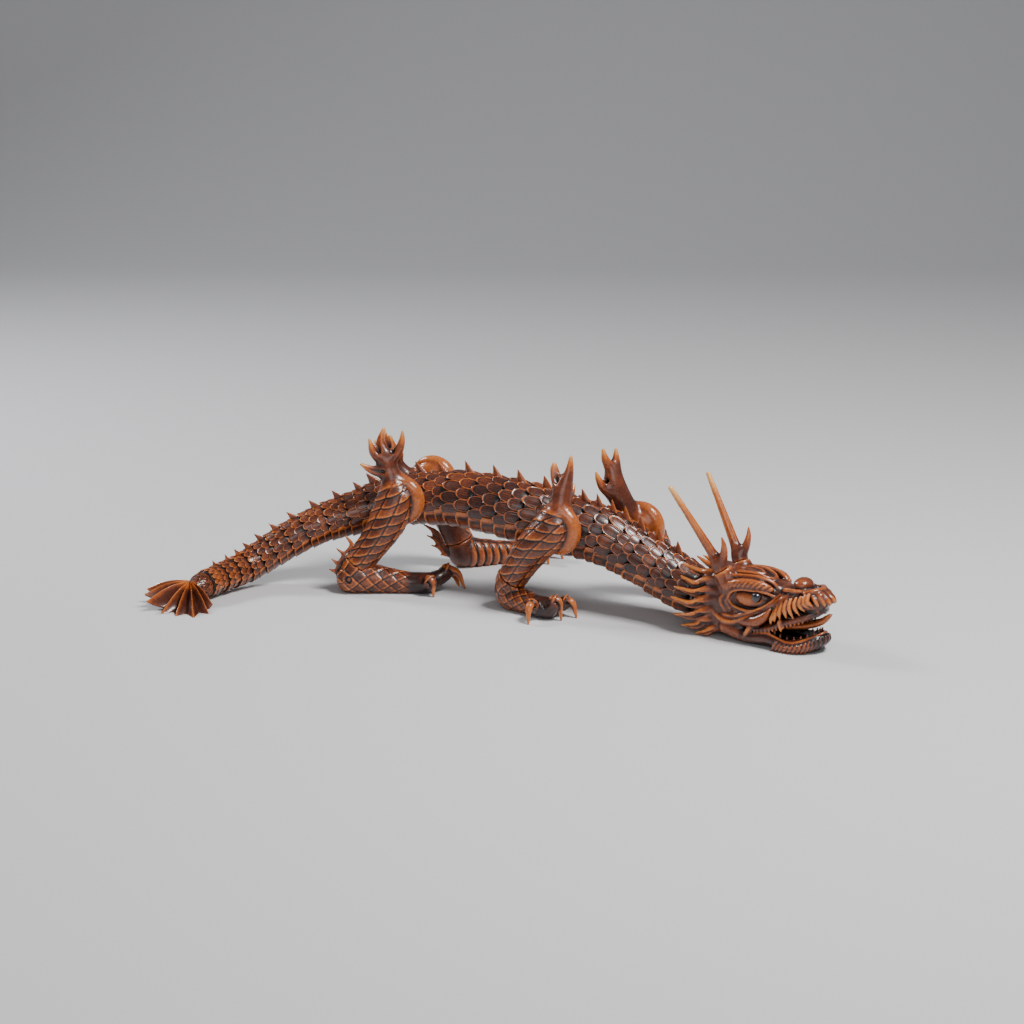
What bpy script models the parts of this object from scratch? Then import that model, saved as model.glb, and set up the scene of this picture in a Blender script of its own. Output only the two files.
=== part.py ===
"""Articulated carved boxwood dragon, walking with its head laid on the ground.

The body is a chain of short overlapping rings, each with one dorsal thorn.
Every length below is in millimetres; MM turns it into metres at the end.
"""
import bpy
import bmesh
import math
import numpy as np
from mathutils import Vector, Matrix

for old in list(bpy.data.objects):
    bpy.data.objects.remove(old, do_unlink=True)

MM = 0.001
ORIGIN = np.array([-5.28, 16.09, 0.0])   # model reference point, taken off every point
GAP = 0.35                           # clearance between neighbouring pieces
FLARE = 1.05                         # a ring's free rear edge over its own radius
SIDES = 16                           # sides of a body ring

# Centre line of the body from the tail fan to the head: x, y, z, radius
SPINE_LINE = [
    (-167.5, 22.0, 9.0, 7.6), (-157.5, 35.0, 10.0, 8.4), (-144.0, 48.0, 13.0, 9.4),
    (-120.5, 57.0, 26.0, 10.6), (-102.5, 60.5, 34.5, 11.4), (-84.5, 63.0, 40.0, 12.6),
    (-54.5, 63.0, 49.0, 15.0), (-30.0, 54.0, 52.5, 15.8), (-12.0, 44.0, 54.0, 16.6),
    (17.5, 28.0, 51.5, 17.8), (40.5, 19.5, 47.0, 17.7), (66.5, 5.0, 42.5, 16.6),
    (88.0, -8.5, 33.2, 15.2), (101.5, -17.0, 26.5, 15.0), (112.0, -25.5, 21.8, 14.4),
    (119.5, -31.5, 19.8, 13.8)]

# Lengths of the rings from the tail to the head, and the thorn height on each
TAIL_RINGS = [13.3, 9.5, 10.4, 10.0, 9.5, 10.8, 12.2, 13.3, 14.0, 14.0]
TRUNK_RINGS = [13.5, 13.0, 14.0, 15.0, 18.0, 16.7, 13.0, 15.8, 13.0]
NECK_RINGS = [9.0, 8.0, 7.0, 9.0, 11.5, 15.0, 13.5, 14.0]
THORN = {"tail": 5.6, "trunk": 6.6, "neck": 6.6}
THORN_AT = {"tail": 0.72, "trunk": 0.42, "neck": 0.42}

HEAD_YAW = -36.0                     # the head's forward direction in plan
HEAD_AT = np.array([136.0, -43.0, 0.0])
HEAD_F = np.array([math.cos(math.radians(HEAD_YAW)), math.sin(math.radians(HEAD_YAW)), 0.0])
HEAD_L = np.array([-HEAD_F[1], HEAD_F[0], 0.0])


# ------------------------------------------------------------------ materials
def material(name, color, rough, coat):
    m = bpy.data.materials.new(name)
    m.use_nodes = True
    b = m.node_tree.nodes["Principled BSDF"]
    b.inputs["Base Color"].default_value = (*color, 1.0)
    b.inputs["Roughness"].default_value = rough
    b.inputs["Metallic"].default_value = 0.0
    b.inputs["Coat Weight"].default_value = coat
    return m


BOXWOOD = material("boxwood", (0.20, 0.050, 0.018), 0.35, 0.3)
HORN = material("dark_horn", (0.02, 0.02, 0.025), 0.12, 0.6)

model = bpy.data.collections.new("dragon")
tools = bpy.data.collections.new("dragon_cutters")
bpy.context.scene.collection.children.link(model)
bpy.context.scene.collection.children.link(tools)


# ------------------------------------------------------------------- helpers
def unit(v):
    v = np.asarray(v, float)
    return v / np.linalg.norm(v)


def smooth_line(pts, n=8):
    """A smooth curve through the rows of pts, radii and all."""
    p = np.asarray(pts, float)
    q = np.vstack([2 * p[0] - p[1], p, 2 * p[-1] - p[-2]])
    out = []
    for i in range(1, len(q) - 2):
        a, b, c, d = q[i - 1], q[i], q[i + 1], q[i + 2]
        for k in range(n):
            t = k / n
            out.append(0.5 * (2 * b + (c - a) * t + (2 * a - 5 * b + 4 * c - d) * t * t
                              + (3 * b - a - 3 * c + d) * t ** 3))
    out.append(q[-2])
    return np.array(out)


class Path:
    """The body's centre line by arc length, with side and up directions."""

    def __init__(self, pts):
        self.d = smooth_line(pts, 40)
        seg = np.linalg.norm(np.diff(self.d[:, :3], axis=0), axis=1)
        self.s = np.r_[0, np.cumsum(seg)]
        self.length = self.s[-1]

    def at(self, s):
        c = np.array([np.interp(s, self.s, self.d[:, k]) for k in range(4)])
        e = 1.5
        near = min(max(s, 0.0), self.length)
        lo, hi = max(0, near - e), min(self.length, near + e)
        a = np.array([np.interp(lo, self.s, self.d[:, k]) for k in range(3)])
        b = np.array([np.interp(hi, self.s, self.d[:, k]) for k in range(3)])
        t = unit(b - a)
        side = unit(np.cross(t, (0, 0, 1)))     # towards the dragon's right
        up = np.cross(side, t)
        if s < 0 or s > self.length:
            c[:3] = c[:3] + t * (s - near)
        return c[:3], c[3], t, side, up


BODY = Path(SPINE_LINE)


def place(verts):
    return [Vector((np.asarray(v, float) - ORIGIN) * MM) for v in verts]


def mesh_object(name, verts, faces, mat, coll=None):
    me = bpy.data.meshes.new(name)
    me.from_pydata(place(verts), [], faces)
    me.materials.append(mat)
    ob = bpy.data.objects.new(name, me)
    (coll or model).objects.link(ob)
    bm = bmesh.new()
    bm.from_mesh(me)
    bmesh.ops.recalc_face_normals(bm, faces=bm.faces)
    bm.to_mesh(me)
    bm.free()
    return ob


def section(s, scale, extra=0.0, shift=0.0, n=SIDES):
    """A body cross-section: round on the back, a little flatter on the belly."""
    c, r, t, side, up = BODY.at(s)
    r = r * scale + extra
    out = []
    for k in range(n):
        a = 2 * math.pi * k / n
        x, z = math.sin(a), math.cos(a)
        flat = 1.0 if z > 0 else 1.0 - 0.06 * z * z
        out.append(c + t * shift + side * (r * x) + up * (r * z * flat))
    return out


def loft(name, sections, mat, coll=None):
    n = len(sections[0])
    verts = [p for s in sections for p in s]
    faces = []
    for i in range(len(sections) - 1):
        for k in range(n):
            a, b = i * n + k, i * n + (k + 1) % n
            faces.append((a, b, b + n, a + n))
    faces.append(tuple(range(n))[::-1])
    faces.append(tuple(range((len(sections) - 1) * n, len(sections) * n)))
    return mesh_object(name, verts, faces, mat, coll)


def tool(ob):
    ob.hide_render = True
    ob.display_type = "WIRE"
    for c in list(ob.users_collection):
        c.objects.unlink(ob)
    tools.objects.link(ob)
    return ob


def boolean(ob, cutter, op):
    m = ob.modifiers.new("bool_" + cutter.name, "BOOLEAN")
    m.operation = op
    m.object = cutter
    m.solver = "EXACT"


def bake(ob):
    """Replaces an object's mesh by its evaluated mesh."""
    deps = bpy.context.evaluated_depsgraph_get()
    me = bpy.data.meshes.new_from_object(ob.evaluated_get(deps))
    ob.modifiers.clear()
    old = ob.data
    ob.data = me
    bpy.data.meshes.remove(old)
    return ob


def box_tool(name, lo, hi):
    lo, hi = (np.asarray(v, float) for v in (lo, hi))
    bm = bmesh.new()
    bmesh.ops.create_cube(bm, size=1.0)
    me = bpy.data.meshes.new(name)
    for v in bm.verts:
        v.co = Vector(((lo + hi) / 2 + np.array(v.co) * (hi - lo) - ORIGIN) * MM)
    bm.to_mesh(me)
    bm.free()
    ob = bpy.data.objects.new(name, me)
    tools.objects.link(ob)
    return tool(ob)


GROUND = box_tool("ground_cut", (-300, -200, -60), (300, 250, 0.0))


# A rough form is gathered from ellipsoids and tapered rods, fused by a voxel
# remesh, smoothed and thinned to a light faceted solid.
class Lump:
    def __init__(self):
        self.bm = bmesh.new()

    def ball(self, c, radii, axes=None, seg=20):
        axes = np.eye(3) if axes is None else np.asarray(axes, float)
        got = bmesh.ops.create_uvsphere(self.bm, u_segments=seg, v_segments=seg // 2 + 2, radius=1.0)
        for v in got["verts"]:
            p = np.array(v.co) * radii
            v.co = Vector(np.asarray(c, float) + p @ axes)
        return self

    def rod(self, pts, n=6, seg=12, closed=False):
        """A tapered rod through points given as x, y, z, radius."""
        p = smooth_line(pts, n) if len(pts) > 2 else np.asarray(pts, float)
        cu = bpy.data.curves.new("rod", "CURVE")
        cu.dimensions = "3D"
        cu.bevel_depth = 1.0
        cu.bevel_resolution = 4
        cu.use_fill_caps = True
        sp = cu.splines.new("POLY")
        sp.points.add(len(p) - 1)
        for i, (x, y, z, r) in enumerate(p):
            sp.points[i].co = (x, y, z, 1)
            sp.points[i].radius = max(r, 0.3)
        ob = bpy.data.objects.new("rod", cu)
        bpy.context.scene.collection.objects.link(ob)
        deps = bpy.context.evaluated_depsgraph_get()
        me = bpy.data.meshes.new_from_object(ob.evaluated_get(deps))
        tmp = bmesh.new()
        tmp.from_mesh(me)
        bmesh.ops.remove_doubles(tmp, verts=tmp.verts, dist=1e-4)
        me2 = bpy.data.meshes.new("rod2")
        tmp.to_mesh(me2)
        tmp.free()
        self.bm.from_mesh(me2)
        bpy.data.objects.remove(ob)
        for x in (me, me2):
            bpy.data.meshes.remove(x)
        for q in (p[0], p[-1]):
            if q[3] > 0.6:
                self.ball(q[:3], (q[3],) * 3, seg=12)
        return self

    def solid(self, name, mat, voxel, tris, smooth=2):
        me = bpy.data.meshes.new(name)
        for v in self.bm.verts:
            v.co = Vector((np.array(v.co) - ORIGIN) * MM)
        self.bm.to_mesh(me)
        self.bm.free()
        ob = bpy.data.objects.new(name, me)
        model.objects.link(ob)
        r = ob.modifiers.new("fuse", "REMESH")
        r.mode = "VOXEL"
        r.voxel_size = voxel * MM
        s = ob.modifiers.new("soften", "SMOOTH")
        s.factor = 0.5
        s.iterations = smooth
        bake(ob)
        count = sum(len(p.vertices) - 2 for p in ob.data.polygons)
        d = ob.modifiers.new("thin", "DECIMATE")
        d.ratio = min(1.0, tris / count)
        d.use_collapse_triangulate = True
        bake(ob)
        biggest_only(ob)
        ob.data.materials.clear()
        ob.data.materials.append(mat)
        return ob


def biggest_only(ob):
    bm = bmesh.new()
    bm.from_mesh(ob.data)
    seen, groups = set(), []
    for v in bm.verts:
        if v in seen:
            continue
        stack, grp = [v], []
        seen.add(v)
        while stack:
            w = stack.pop()
            grp.append(w)
            for e in w.link_edges:
                o = e.other_vert(w)
                if o not in seen:
                    seen.add(o)
                    stack.append(o)
        groups.append(grp)
    groups.sort(key=len, reverse=True)
    for g in groups[1:]:
        bmesh.ops.delete(bm, geom=g, context="VERTS")
    bm.to_mesh(ob.data)
    bm.free()


# --------------------------------------------------------------- body rings
def thorn(name, s, height, base, room):
    """A flat triangular thorn on the back, swept towards the tail."""
    c, r, t, side, up = BODY.at(s)
    root = c + up * (r - 1.2)
    w = 0.26 * height
    ahead, behind = min(base * 0.55, room[1] - 0.7), min(base * 0.45, room[0] - 0.7)
    quad = [root + t * ahead, root + side * w, root - t * behind, root - side * w]
    tip = c + up * (r + height) - t * (base * 0.42)
    verts = quad + [tip]
    faces = [(0, 1, 2, 3), (0, 1, 4), (1, 2, 4), (2, 3, 4), (3, 0, 4)]
    return tool(mesh_object(name, verts, faces, BOXWOOD))


def body_rings():
    s = 0.0
    rings = []
    total = sum(TAIL_RINGS) + sum(TRUNK_RINGS) + sum(NECK_RINGS)
    k = BODY.length / total
    groups = (("tail", TAIL_RINGS), ("trunk", TRUNK_RINGS), ("neck", NECK_RINGS))
    for kind, lengths in groups:
        for i, raw in enumerate(lengths):
            name = "%s_ring_%02d" % (kind, i + 1)
            a, b = s, s + raw * k
            h = GAP / 2
            lead = min(1.8, raw * 0.2)
            ring = loft(name, [
                section(a, FLARE, shift=h), section(b - lead, 0.985),
                section(b, 0.94, shift=-h)], BOXWOOD)
            last = kind == "neck" and i == len(lengths) - 1
            if not last:
                height = THORN[kind] * (0.72 + 0.28 * min(1.0, (i + 2) / 6.0)) if kind == "tail" else THORN[kind]
                th = thorn("thorn_" + name, a + (b - a) * THORN_AT[kind], height, min(raw * k * 0.85, height * 1.15),
                           ((b - a) * THORN_AT[kind], (b - a) * (1 - THORN_AT[kind])))
                boolean(ring, th, "UNION")
            rings.append((name, a, b))
            s = b
    return rings


RINGS = body_rings()

# The space that the body takes, with clearance, cut out of whatever hugs it
stations = np.linspace(-GAP, BODY.length + GAP, 46)
BODY_CUT = tool(loft("body_space", [section(s, FLARE, extra=GAP, n=28) for s in stations], BOXWOOD))


# ----------------------------------------------------------------- tail fan
FAN_APEX = np.array([-175.0, 13.0, 14.0])
FAN_TIPS = [                         # plan angle, length, tip height
    (150, 24, 6.0), (176, 26, 8.5), (202, 27.5, 8.8), (216, 29, 6.5),
    (234, 25, 0.3), (257, 26, 0.2), (280, 29, 0.2), (302, 25, 0.2), (322, 18, 3.0)]
FAN_THICK = 2.2


def tail_fan():
    """A pleated star: ridges run out to the tips, valleys between them."""
    up, low = [], []
    c, r, t, side, u = BODY.at(0.0)
    rows = (0.34, 0.68, 1.0)
    for j, (ang, length, z) in enumerate(FAN_TIPS):
        a = math.radians(ang)
        tip = np.array([FAN_APEX[0] + length * math.cos(a), FAN_APEX[1] + length * math.sin(a), z])
        up.append([FAN_APEX + (tip - FAN_APEX) * f + np.array([0, 0, 2.4 * math.sin(math.pi * f)]) for f in rows])
        if j + 1 < len(FAN_TIPS):
            ang2, len2, z2 = FAN_TIPS[j + 1]
            a = math.radians((ang + ang2) / 2)
            m = (length + len2) / 2 * 0.74
            dip = np.array([FAN_APEX[0] + m * math.cos(a), FAN_APEX[1] + m * math.sin(a), max(0.3, (z + z2) / 2 - 1.2)])
            up.append([FAN_APEX + (dip - FAN_APEX) * f - np.array([0, 0, 1.6 * math.sin(math.pi * f)]) for f in rows])
    verts = [FAN_APEX]
    for ray in up:
        verts += ray
    n = len(up)
    under = len(verts)
    verts.append(FAN_APEX - np.array([0, 0, 6.0]))
    for ray in up:
        for f, p in zip(rows, ray):
            drop = FAN_THICK * (1.25 - 0.75 * f)
            q = p - np.array([0, 0, drop])
            if f == 1.0:
                q = p - np.array([0, 0, 0.5 * FAN_THICK]) + (FAN_APEX - p) * 0.02
            verts.append(q)
    faces = []
    m = len(rows)
    for k in range(n - 1):
        a, b = 1 + k * m, 1 + (k + 1) * m
        faces.append((0, a, b))
        for i in range(m - 1):
            faces.append((a + i, a + i + 1, b + i + 1, b + i))
        c0, d0 = under + a, under + b
        faces.append((under, d0, c0))
        for i in range(m - 1):
            faces.append((c0 + i, d0 + i, d0 + i + 1, c0 + i + 1))
        faces.append((a + m - 1, c0 + m - 1, d0 + m - 1, b + m - 1))
    for k, flip in ((0, False), (n - 1, True)):
        a, c0 = 1 + k * m, under + 1 + k * m
        quads = [(0, under, c0, a)] + [(a + i, c0 + i, c0 + i + 1, a + i + 1) for i in range(m - 1)]
        faces += [tuple(reversed(q)) if flip else q for q in quads]
    fan = mesh_object("tail_fan", verts, faces, BOXWOOD)
    boolean(fan, BODY_CUT, "DIFFERENCE")
    hub = tool(loft("fan_hub", [section(-GAP * 1.2, 0.98, n=14), section(-5.0, 0.92, n=14),
                               section(-9.0, 0.66, n=14), section(-15.0, 0.30, n=14)], BOXWOOD))
    boolean(fan, hub, "UNION")
    boolean(fan, GROUND, "DIFFERENCE")
    return fan


# --------------------------------------------------------------------- legs
# hip or shoulder centre, outward direction (plan degrees), collar radius,
# limb line, lower limb line, paw direction, flame prongs
LEGS = {
    "fore_right": dict(
        hub=(37.0, -8.0, 50.5), out=-120.0, collar=11.0, knee=(13.0, 4.0, 18.5), fold=(0.15, 0.1, 1.0),
        upper=[(36, -8, 50, 13), (28, -5.5, 42, 11.3), (20, -0.5, 30.5, 9.4), (13.5, 3.5, 19.5, 8.6)],
        lower=[(12.2, 4, 17, 8.2), (11.5, 3.5, 9, 8.2), (17, -1, 7, 7.2), (25, -8, 6.2, 6.2), (32, -14, 6, 6.6)],
        toes=[[(28, -15, 6, 4.6), (24.5, -20, 8.6, 3.9)], [(34, -17, 6, 4.8), (37, -19.5, 9.5, 4.2)],
              [(36, -12, 6, 4.6), (43, -11.5, 7.6, 3.9)]],
        claws=[[(24.5, -20, 9.5, 3.0), (22.6, -24.5, 8.6, 2.4), (22.0, -28.3, -0.4, 0.5)],
               [(36.5, -19.5, 12, 3.0), (39.7, -20.5, 10.5, 2.3), (41.0, -20.2, -0.4, 0.5)],
               [(43, -11.5, 9.5, 2.8), (47.5, -13.5, 8, 2.2), (50, -16.0, -0.4, 0.5)]],
        flame=[[(39.5, -6, 60, 7.2), (41.5, -4, 69, 6.0), (43, -3, 76, 4.6), (45.2, -2, 84, 2.8), (46.5, -2, 92, 1.0)],
               [(41, -3.5, 72, 4.2), (38.2, 0, 77.5, 3.0), (37.2, 2.5, 82.5, 2.6), (37, 3, 86, 1.5)],
               [(43, -1, 66, 3.0), (46.5, 3, 69, 2.2), (48.5, 6, 73.5, 0.9)]]),
    "hind_right": dict(
        hub=(-54.5, 41.0, 55.0), out=-108.0, collar=11.0, knee=(-79.0, 39.5, 16.5), fold=(0.1, 0.0, 1.0),
        upper=[(-54.5, 40.5, 54, 13), (-59, 40, 45.5, 12), (-64.5, 39.5, 36, 10), (-71.5, 39.5, 26, 8.8), (-78.5, 39.5, 17, 8.6)],
        lower=[(-82, 38.2, 8.4, 8.9), (-73, 38, 8.2, 9.0), (-61, 37.5, 6.8, 7.6), (-50, 36.5, 5.8, 6.6), (-40, 35, 5.8, 6.6)],
        toes=[[(-38, 33, 6.3, 4.8), (-35.5, 28, 8, 4.0)], [(-34, 36, 6.5, 5.0), (-27, 40, 10, 4.2)],
              [(-36, 38, 6.3, 4.8), (-29, 44.5, 8, 4.0)]],
        claws=[[(-36, 27.5, 10, 3.0), (-34.2, 26, 8.5, 2.3), (-33.4, 25.0, -0.4, 0.5)],
               [(-26.5, 41, 13, 3.1), (-19.5, 41, 10, 2.3), (-15.2, 41, 0.6, 0.5)],
               [(-28.5, 46, 10, 2.9), (-22, 47.5, 7.5, 2.2), (-18.8, 48, -0.4, 0.5)]],
        fin=[(-86, 38, 34.5), (-91.5, 38.5, 26.5), (-94.5, 38.5, 20.0), (-96, 38.5, 13.5)], fin_root=(-86.0, 38.3, 12.0),
        flame=[[(-57, 42.5, 64, 7.2), (-59.5, 44, 73, 5.4), (-62.5, 45.5, 82, 4.0), (-64.6, 47, 89, 2.6), (-62.6, 48, 97, 1.0)],
               [(-60, 44.5, 78, 3.8), (-54.5, 44, 84, 3.0), (-52, 44, 90, 2.0), (-51.5, 44, 96, 0.8)],
               [(-61.5, 44.5, 77, 3.8), (-68.5, 44, 83, 2.6), (-71, 44, 91, 0.9)],
               [(-60, 43.5, 71, 3.8), (-69, 42, 73, 2.6), (-76, 41, 77, 0.9)]]),
    "fore_left": dict(
        hub=(88.5, 25.5, 44.0), out=60.0, collar=11.0, knee=(101.5, 29.5, 17.5), fold=(0.1, 0.0, 1.0),
        upper=[(89, 26, 44, 13), (94, 28.5, 36, 11.0), (98, 29.5, 27, 9.2), (101, 29.5, 18.5, 8.6)],
        lower=[(102.5, 29.5, 15.5, 8.2), (101.5, 29.5, 9, 8.2), (106, 27, 7, 7.0), (111, 23.5, 6.2, 6.2), (116, 20, 6, 6.6)],
        toes=[[(116, 16, 6, 4.6), (118, 11.5, 8.4, 3.9)], [(119, 19, 6, 4.8), (124, 17.5, 9.5, 4.2)],
              [(117.5, 23, 6, 4.6), (122.5, 26, 8, 3.9)]],
        claws=[[(118, 11.2, 10, 3.0), (120, 8.5, 8, 2.2), (121, 7, -0.4, 0.5)],
               [(124, 17.5, 12, 3.0), (129, 16, 9.5, 2.2), (131, 15.2, -0.4, 0.5)],
               [(122.5, 26.2, 9.5, 2.9), (127, 28, 7.5, 2.2), (129.5, 28.8, -0.4, 0.5)]],
        flame=[[(80, 22, 53, 7.0), (75.5, 22, 62, 6.8), (72.5, 22, 70, 6.2), (70.5, 22.5, 78, 4.0), (67, 22.3, 84.5, 2.4), (65.6, 22, 90.3, 1.0)],
               [(72, 23, 74, 4.0), (73.2, 25, 81, 2.8), (73, 25.5, 89.5, 1.2)],
               [(74, 21, 63, 4.4), (66.5, 18.5, 68, 3.0), (63, 17.4, 73.5, 1.9), (61.6, 17, 78, 0.8)]]),
    "hind_left": dict(
        hub=(-35.0, 79.5, 58.5), out=70.0, collar=11.0, knee=(-20.0, 92.5, 17.0), fold=(0.1, 0.0, 1.0),
        upper=[(-35, 80.5, 57.5, 13), (-30.5, 86.5, 45, 11.6), (-25.5, 91, 31, 9.6), (-20.5, 92.5, 18, 8.8)],
        lower=[(-17, 92, 8.6, 8.8), (-8, 95, 7.8, 8.6), (3, 99, 6.6, 7.4), (14.5, 103.5, 5.8, 6.6), (25, 105.5, 5.8, 6.6)],
        toes=[[(27, 102, 6.3, 4.8), (31, 98, 8, 4.0)], [(29, 106, 6.5, 5.0), (35.5, 106.5, 10, 4.2)],
              [(27, 109, 6.3, 4.8), (31.5, 113, 8, 4.0)]],
        claws=[[(31, 97.5, 10, 3.0), (34, 95.5, 8, 2.2), (35.5, 94.5, -0.4, 0.5)],
               [(35.5, 106.5, 12.5, 3.0), (41.5, 106.5, 9.5, 2.2), (44.5, 106.5, -0.4, 0.5)],
               [(31.5, 113.3, 10, 2.9), (36, 115.5, 7.5, 2.2), (38.5, 116.5, -0.4, 0.5)]],
        fin=[(-42, 86, 28.5), (-39.5, 86.5, 21), (-37, 87, 14.5), (-31, 88, 8.0)], fin_root=(-23.0, 91.0, 11.0),
        flame=[[(-49, 78, 57, 7.0), (-55.5, 78, 65, 5.2), (-59.5, 77.5, 74, 3.8), (-63, 78, 82, 2.2), (-64, 78, 88.5, 0.9)],
               [(-56, 77.5, 74, 3.4), (-65, 77, 77, 2.2), (-69.5, 77, 82, 0.9)],
               [(-58.5, 77.5, 73, 3.0), (-59.5, 77.5, 80, 2.0), (-60, 77.5, 85, 0.8)]]),
}


def limb_cut(name, at, direction, side, size=15.0, shift=0.0):
    """A half space bounded by the knee's parting plane."""
    d = unit(direction)
    u = unit(np.cross(d, (0.3, 1.0, 0.1)))
    w = np.cross(d, u)

    near = np.asarray(at, float) + d * (side * GAP / 2 + shift)
    lo = [near + u * a * size + w * b * size for a, b in ((-1, -1), (1, -1), (1, 1), (-1, 1))]
    hi = [p + d * side * size * -1.0 for p in lo]
    verts = lo + hi
    faces = [(0, 1, 2, 3), (7, 6, 5, 4), (0, 4, 5, 1), (1, 5, 6, 2), (2, 6, 7, 3), (3, 7, 4, 0)]
    return tool(mesh_object(name, verts, faces, BOXWOOD))


def upper_leg(key, d):
    out = np.array([math.cos(math.radians(d["out"])), math.sin(math.radians(d["out"])), 0.0])
    fwd = np.array([-out[1], out[0], 0.0])
    axes = np.array([out, fwd, (0, 0, 1.0)])
    hub = np.array(d["hub"], float)
    lump = Lump()
    lump.ball(hub + out * 1.0, (8.5, 13.0, 13.0), axes, seg=24)
    ring = [hub - out * 3.0 + fwd * d["collar"] * math.cos(a) + np.array([0, 0, 1.0]) * d["collar"] * math.sin(a)
            for a in np.linspace(0, 2 * math.pi, 25)]
    lump.rod([(*p, 4.6) for p in ring], n=1)
    lump.ball(hub - out * 5.0, (5.0, 11.0, 11.0), axes, seg=20)
    lump.rod(d["upper"], n=5)
    for prong in d["flame"]:
        lump.rod(prong, n=5)
    ob = lump.solid(key + "_upper_leg", BOXWOOD, 0.9, 440, smooth=3)
    direction = np.array(d["upper"][-1][:3]) - np.array(d["upper"][-2][:3])
    cut = limb_cut("part_" + key + "_upper", d["knee"], unit(direction), -1)
    boolean(ob, cut, "DIFFERENCE")
    boolean(ob, BODY_CUT, "DIFFERENCE")
    return ob


def lower_leg(key, d):
    lump = Lump()
    kn = np.array(d["knee"], float)
    u = np.array(d["upper"][-1])
    direction = unit(np.array(d["upper"][-1][:3]) - np.array(d["upper"][-2][:3]))
    lump.rod([(*(kn - direction * 2), u[3]), tuple(d["lower"][0])], n=1)
    lump.rod(d["lower"], n=5)
    for toe in d["toes"]:
        lump.rod(toe, n=4)
    for claw in d["claws"]:
        lump.rod(claw, n=5)
    if "fin" in d:
        root = np.array(d["fin_root"], float)
        for i, tip in enumerate(np.array(d["fin"], float)):
            start = root + np.array([0, 0, -1.6 * i])
            back = np.array([root[0] - kn[0], root[1] - kn[1], 0.0])
            bend = (start + tip) / 2 + unit(back) * (3.2 - 0.9 * i)
            lump.rod([(*start, 3.0), (*bend, 2.2), (*tip, 0.6)], n=5)
    ob = lump.solid(key + "_lower_leg", BOXWOOD, 0.8, 430, smooth=2)
    space = Lump()
    space.rod([(x, y, z, r + 1.0) for x, y, z, r in d["upper"]], n=5)
    cutter = space.solid("space_" + key, BOXWOOD, 1.0, 360, smooth=1)
    boolean(cutter, limb_cut("part_" + key + "_lower", d["knee"], direction, -1, size=20.0, shift=GAP), "DIFFERENCE")
    bake(cutter)
    boolean(ob, tool(cutter), "DIFFERENCE")
    boolean(ob, GROUND, "DIFFERENCE")
    return ob


# --------------------------------------------------------------------- head
def head_point(x, y, z):
    return HEAD_AT + HEAD_F * x + HEAD_L * y + np.array([0, 0, z])


HEAD_AXES = np.array([HEAD_F, HEAD_L, (0, 0, 1.0)])
HORN_BASE = (-0.5, 10.0, 39.0)
HORN_LEAN = {1: (-27.6, 9.4, 45.5), -1: (-29.0, 8.5, 45.0)}
PUPIL = (24.3, 15.0, 28.8)
PUPIL_R = 2.3


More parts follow.
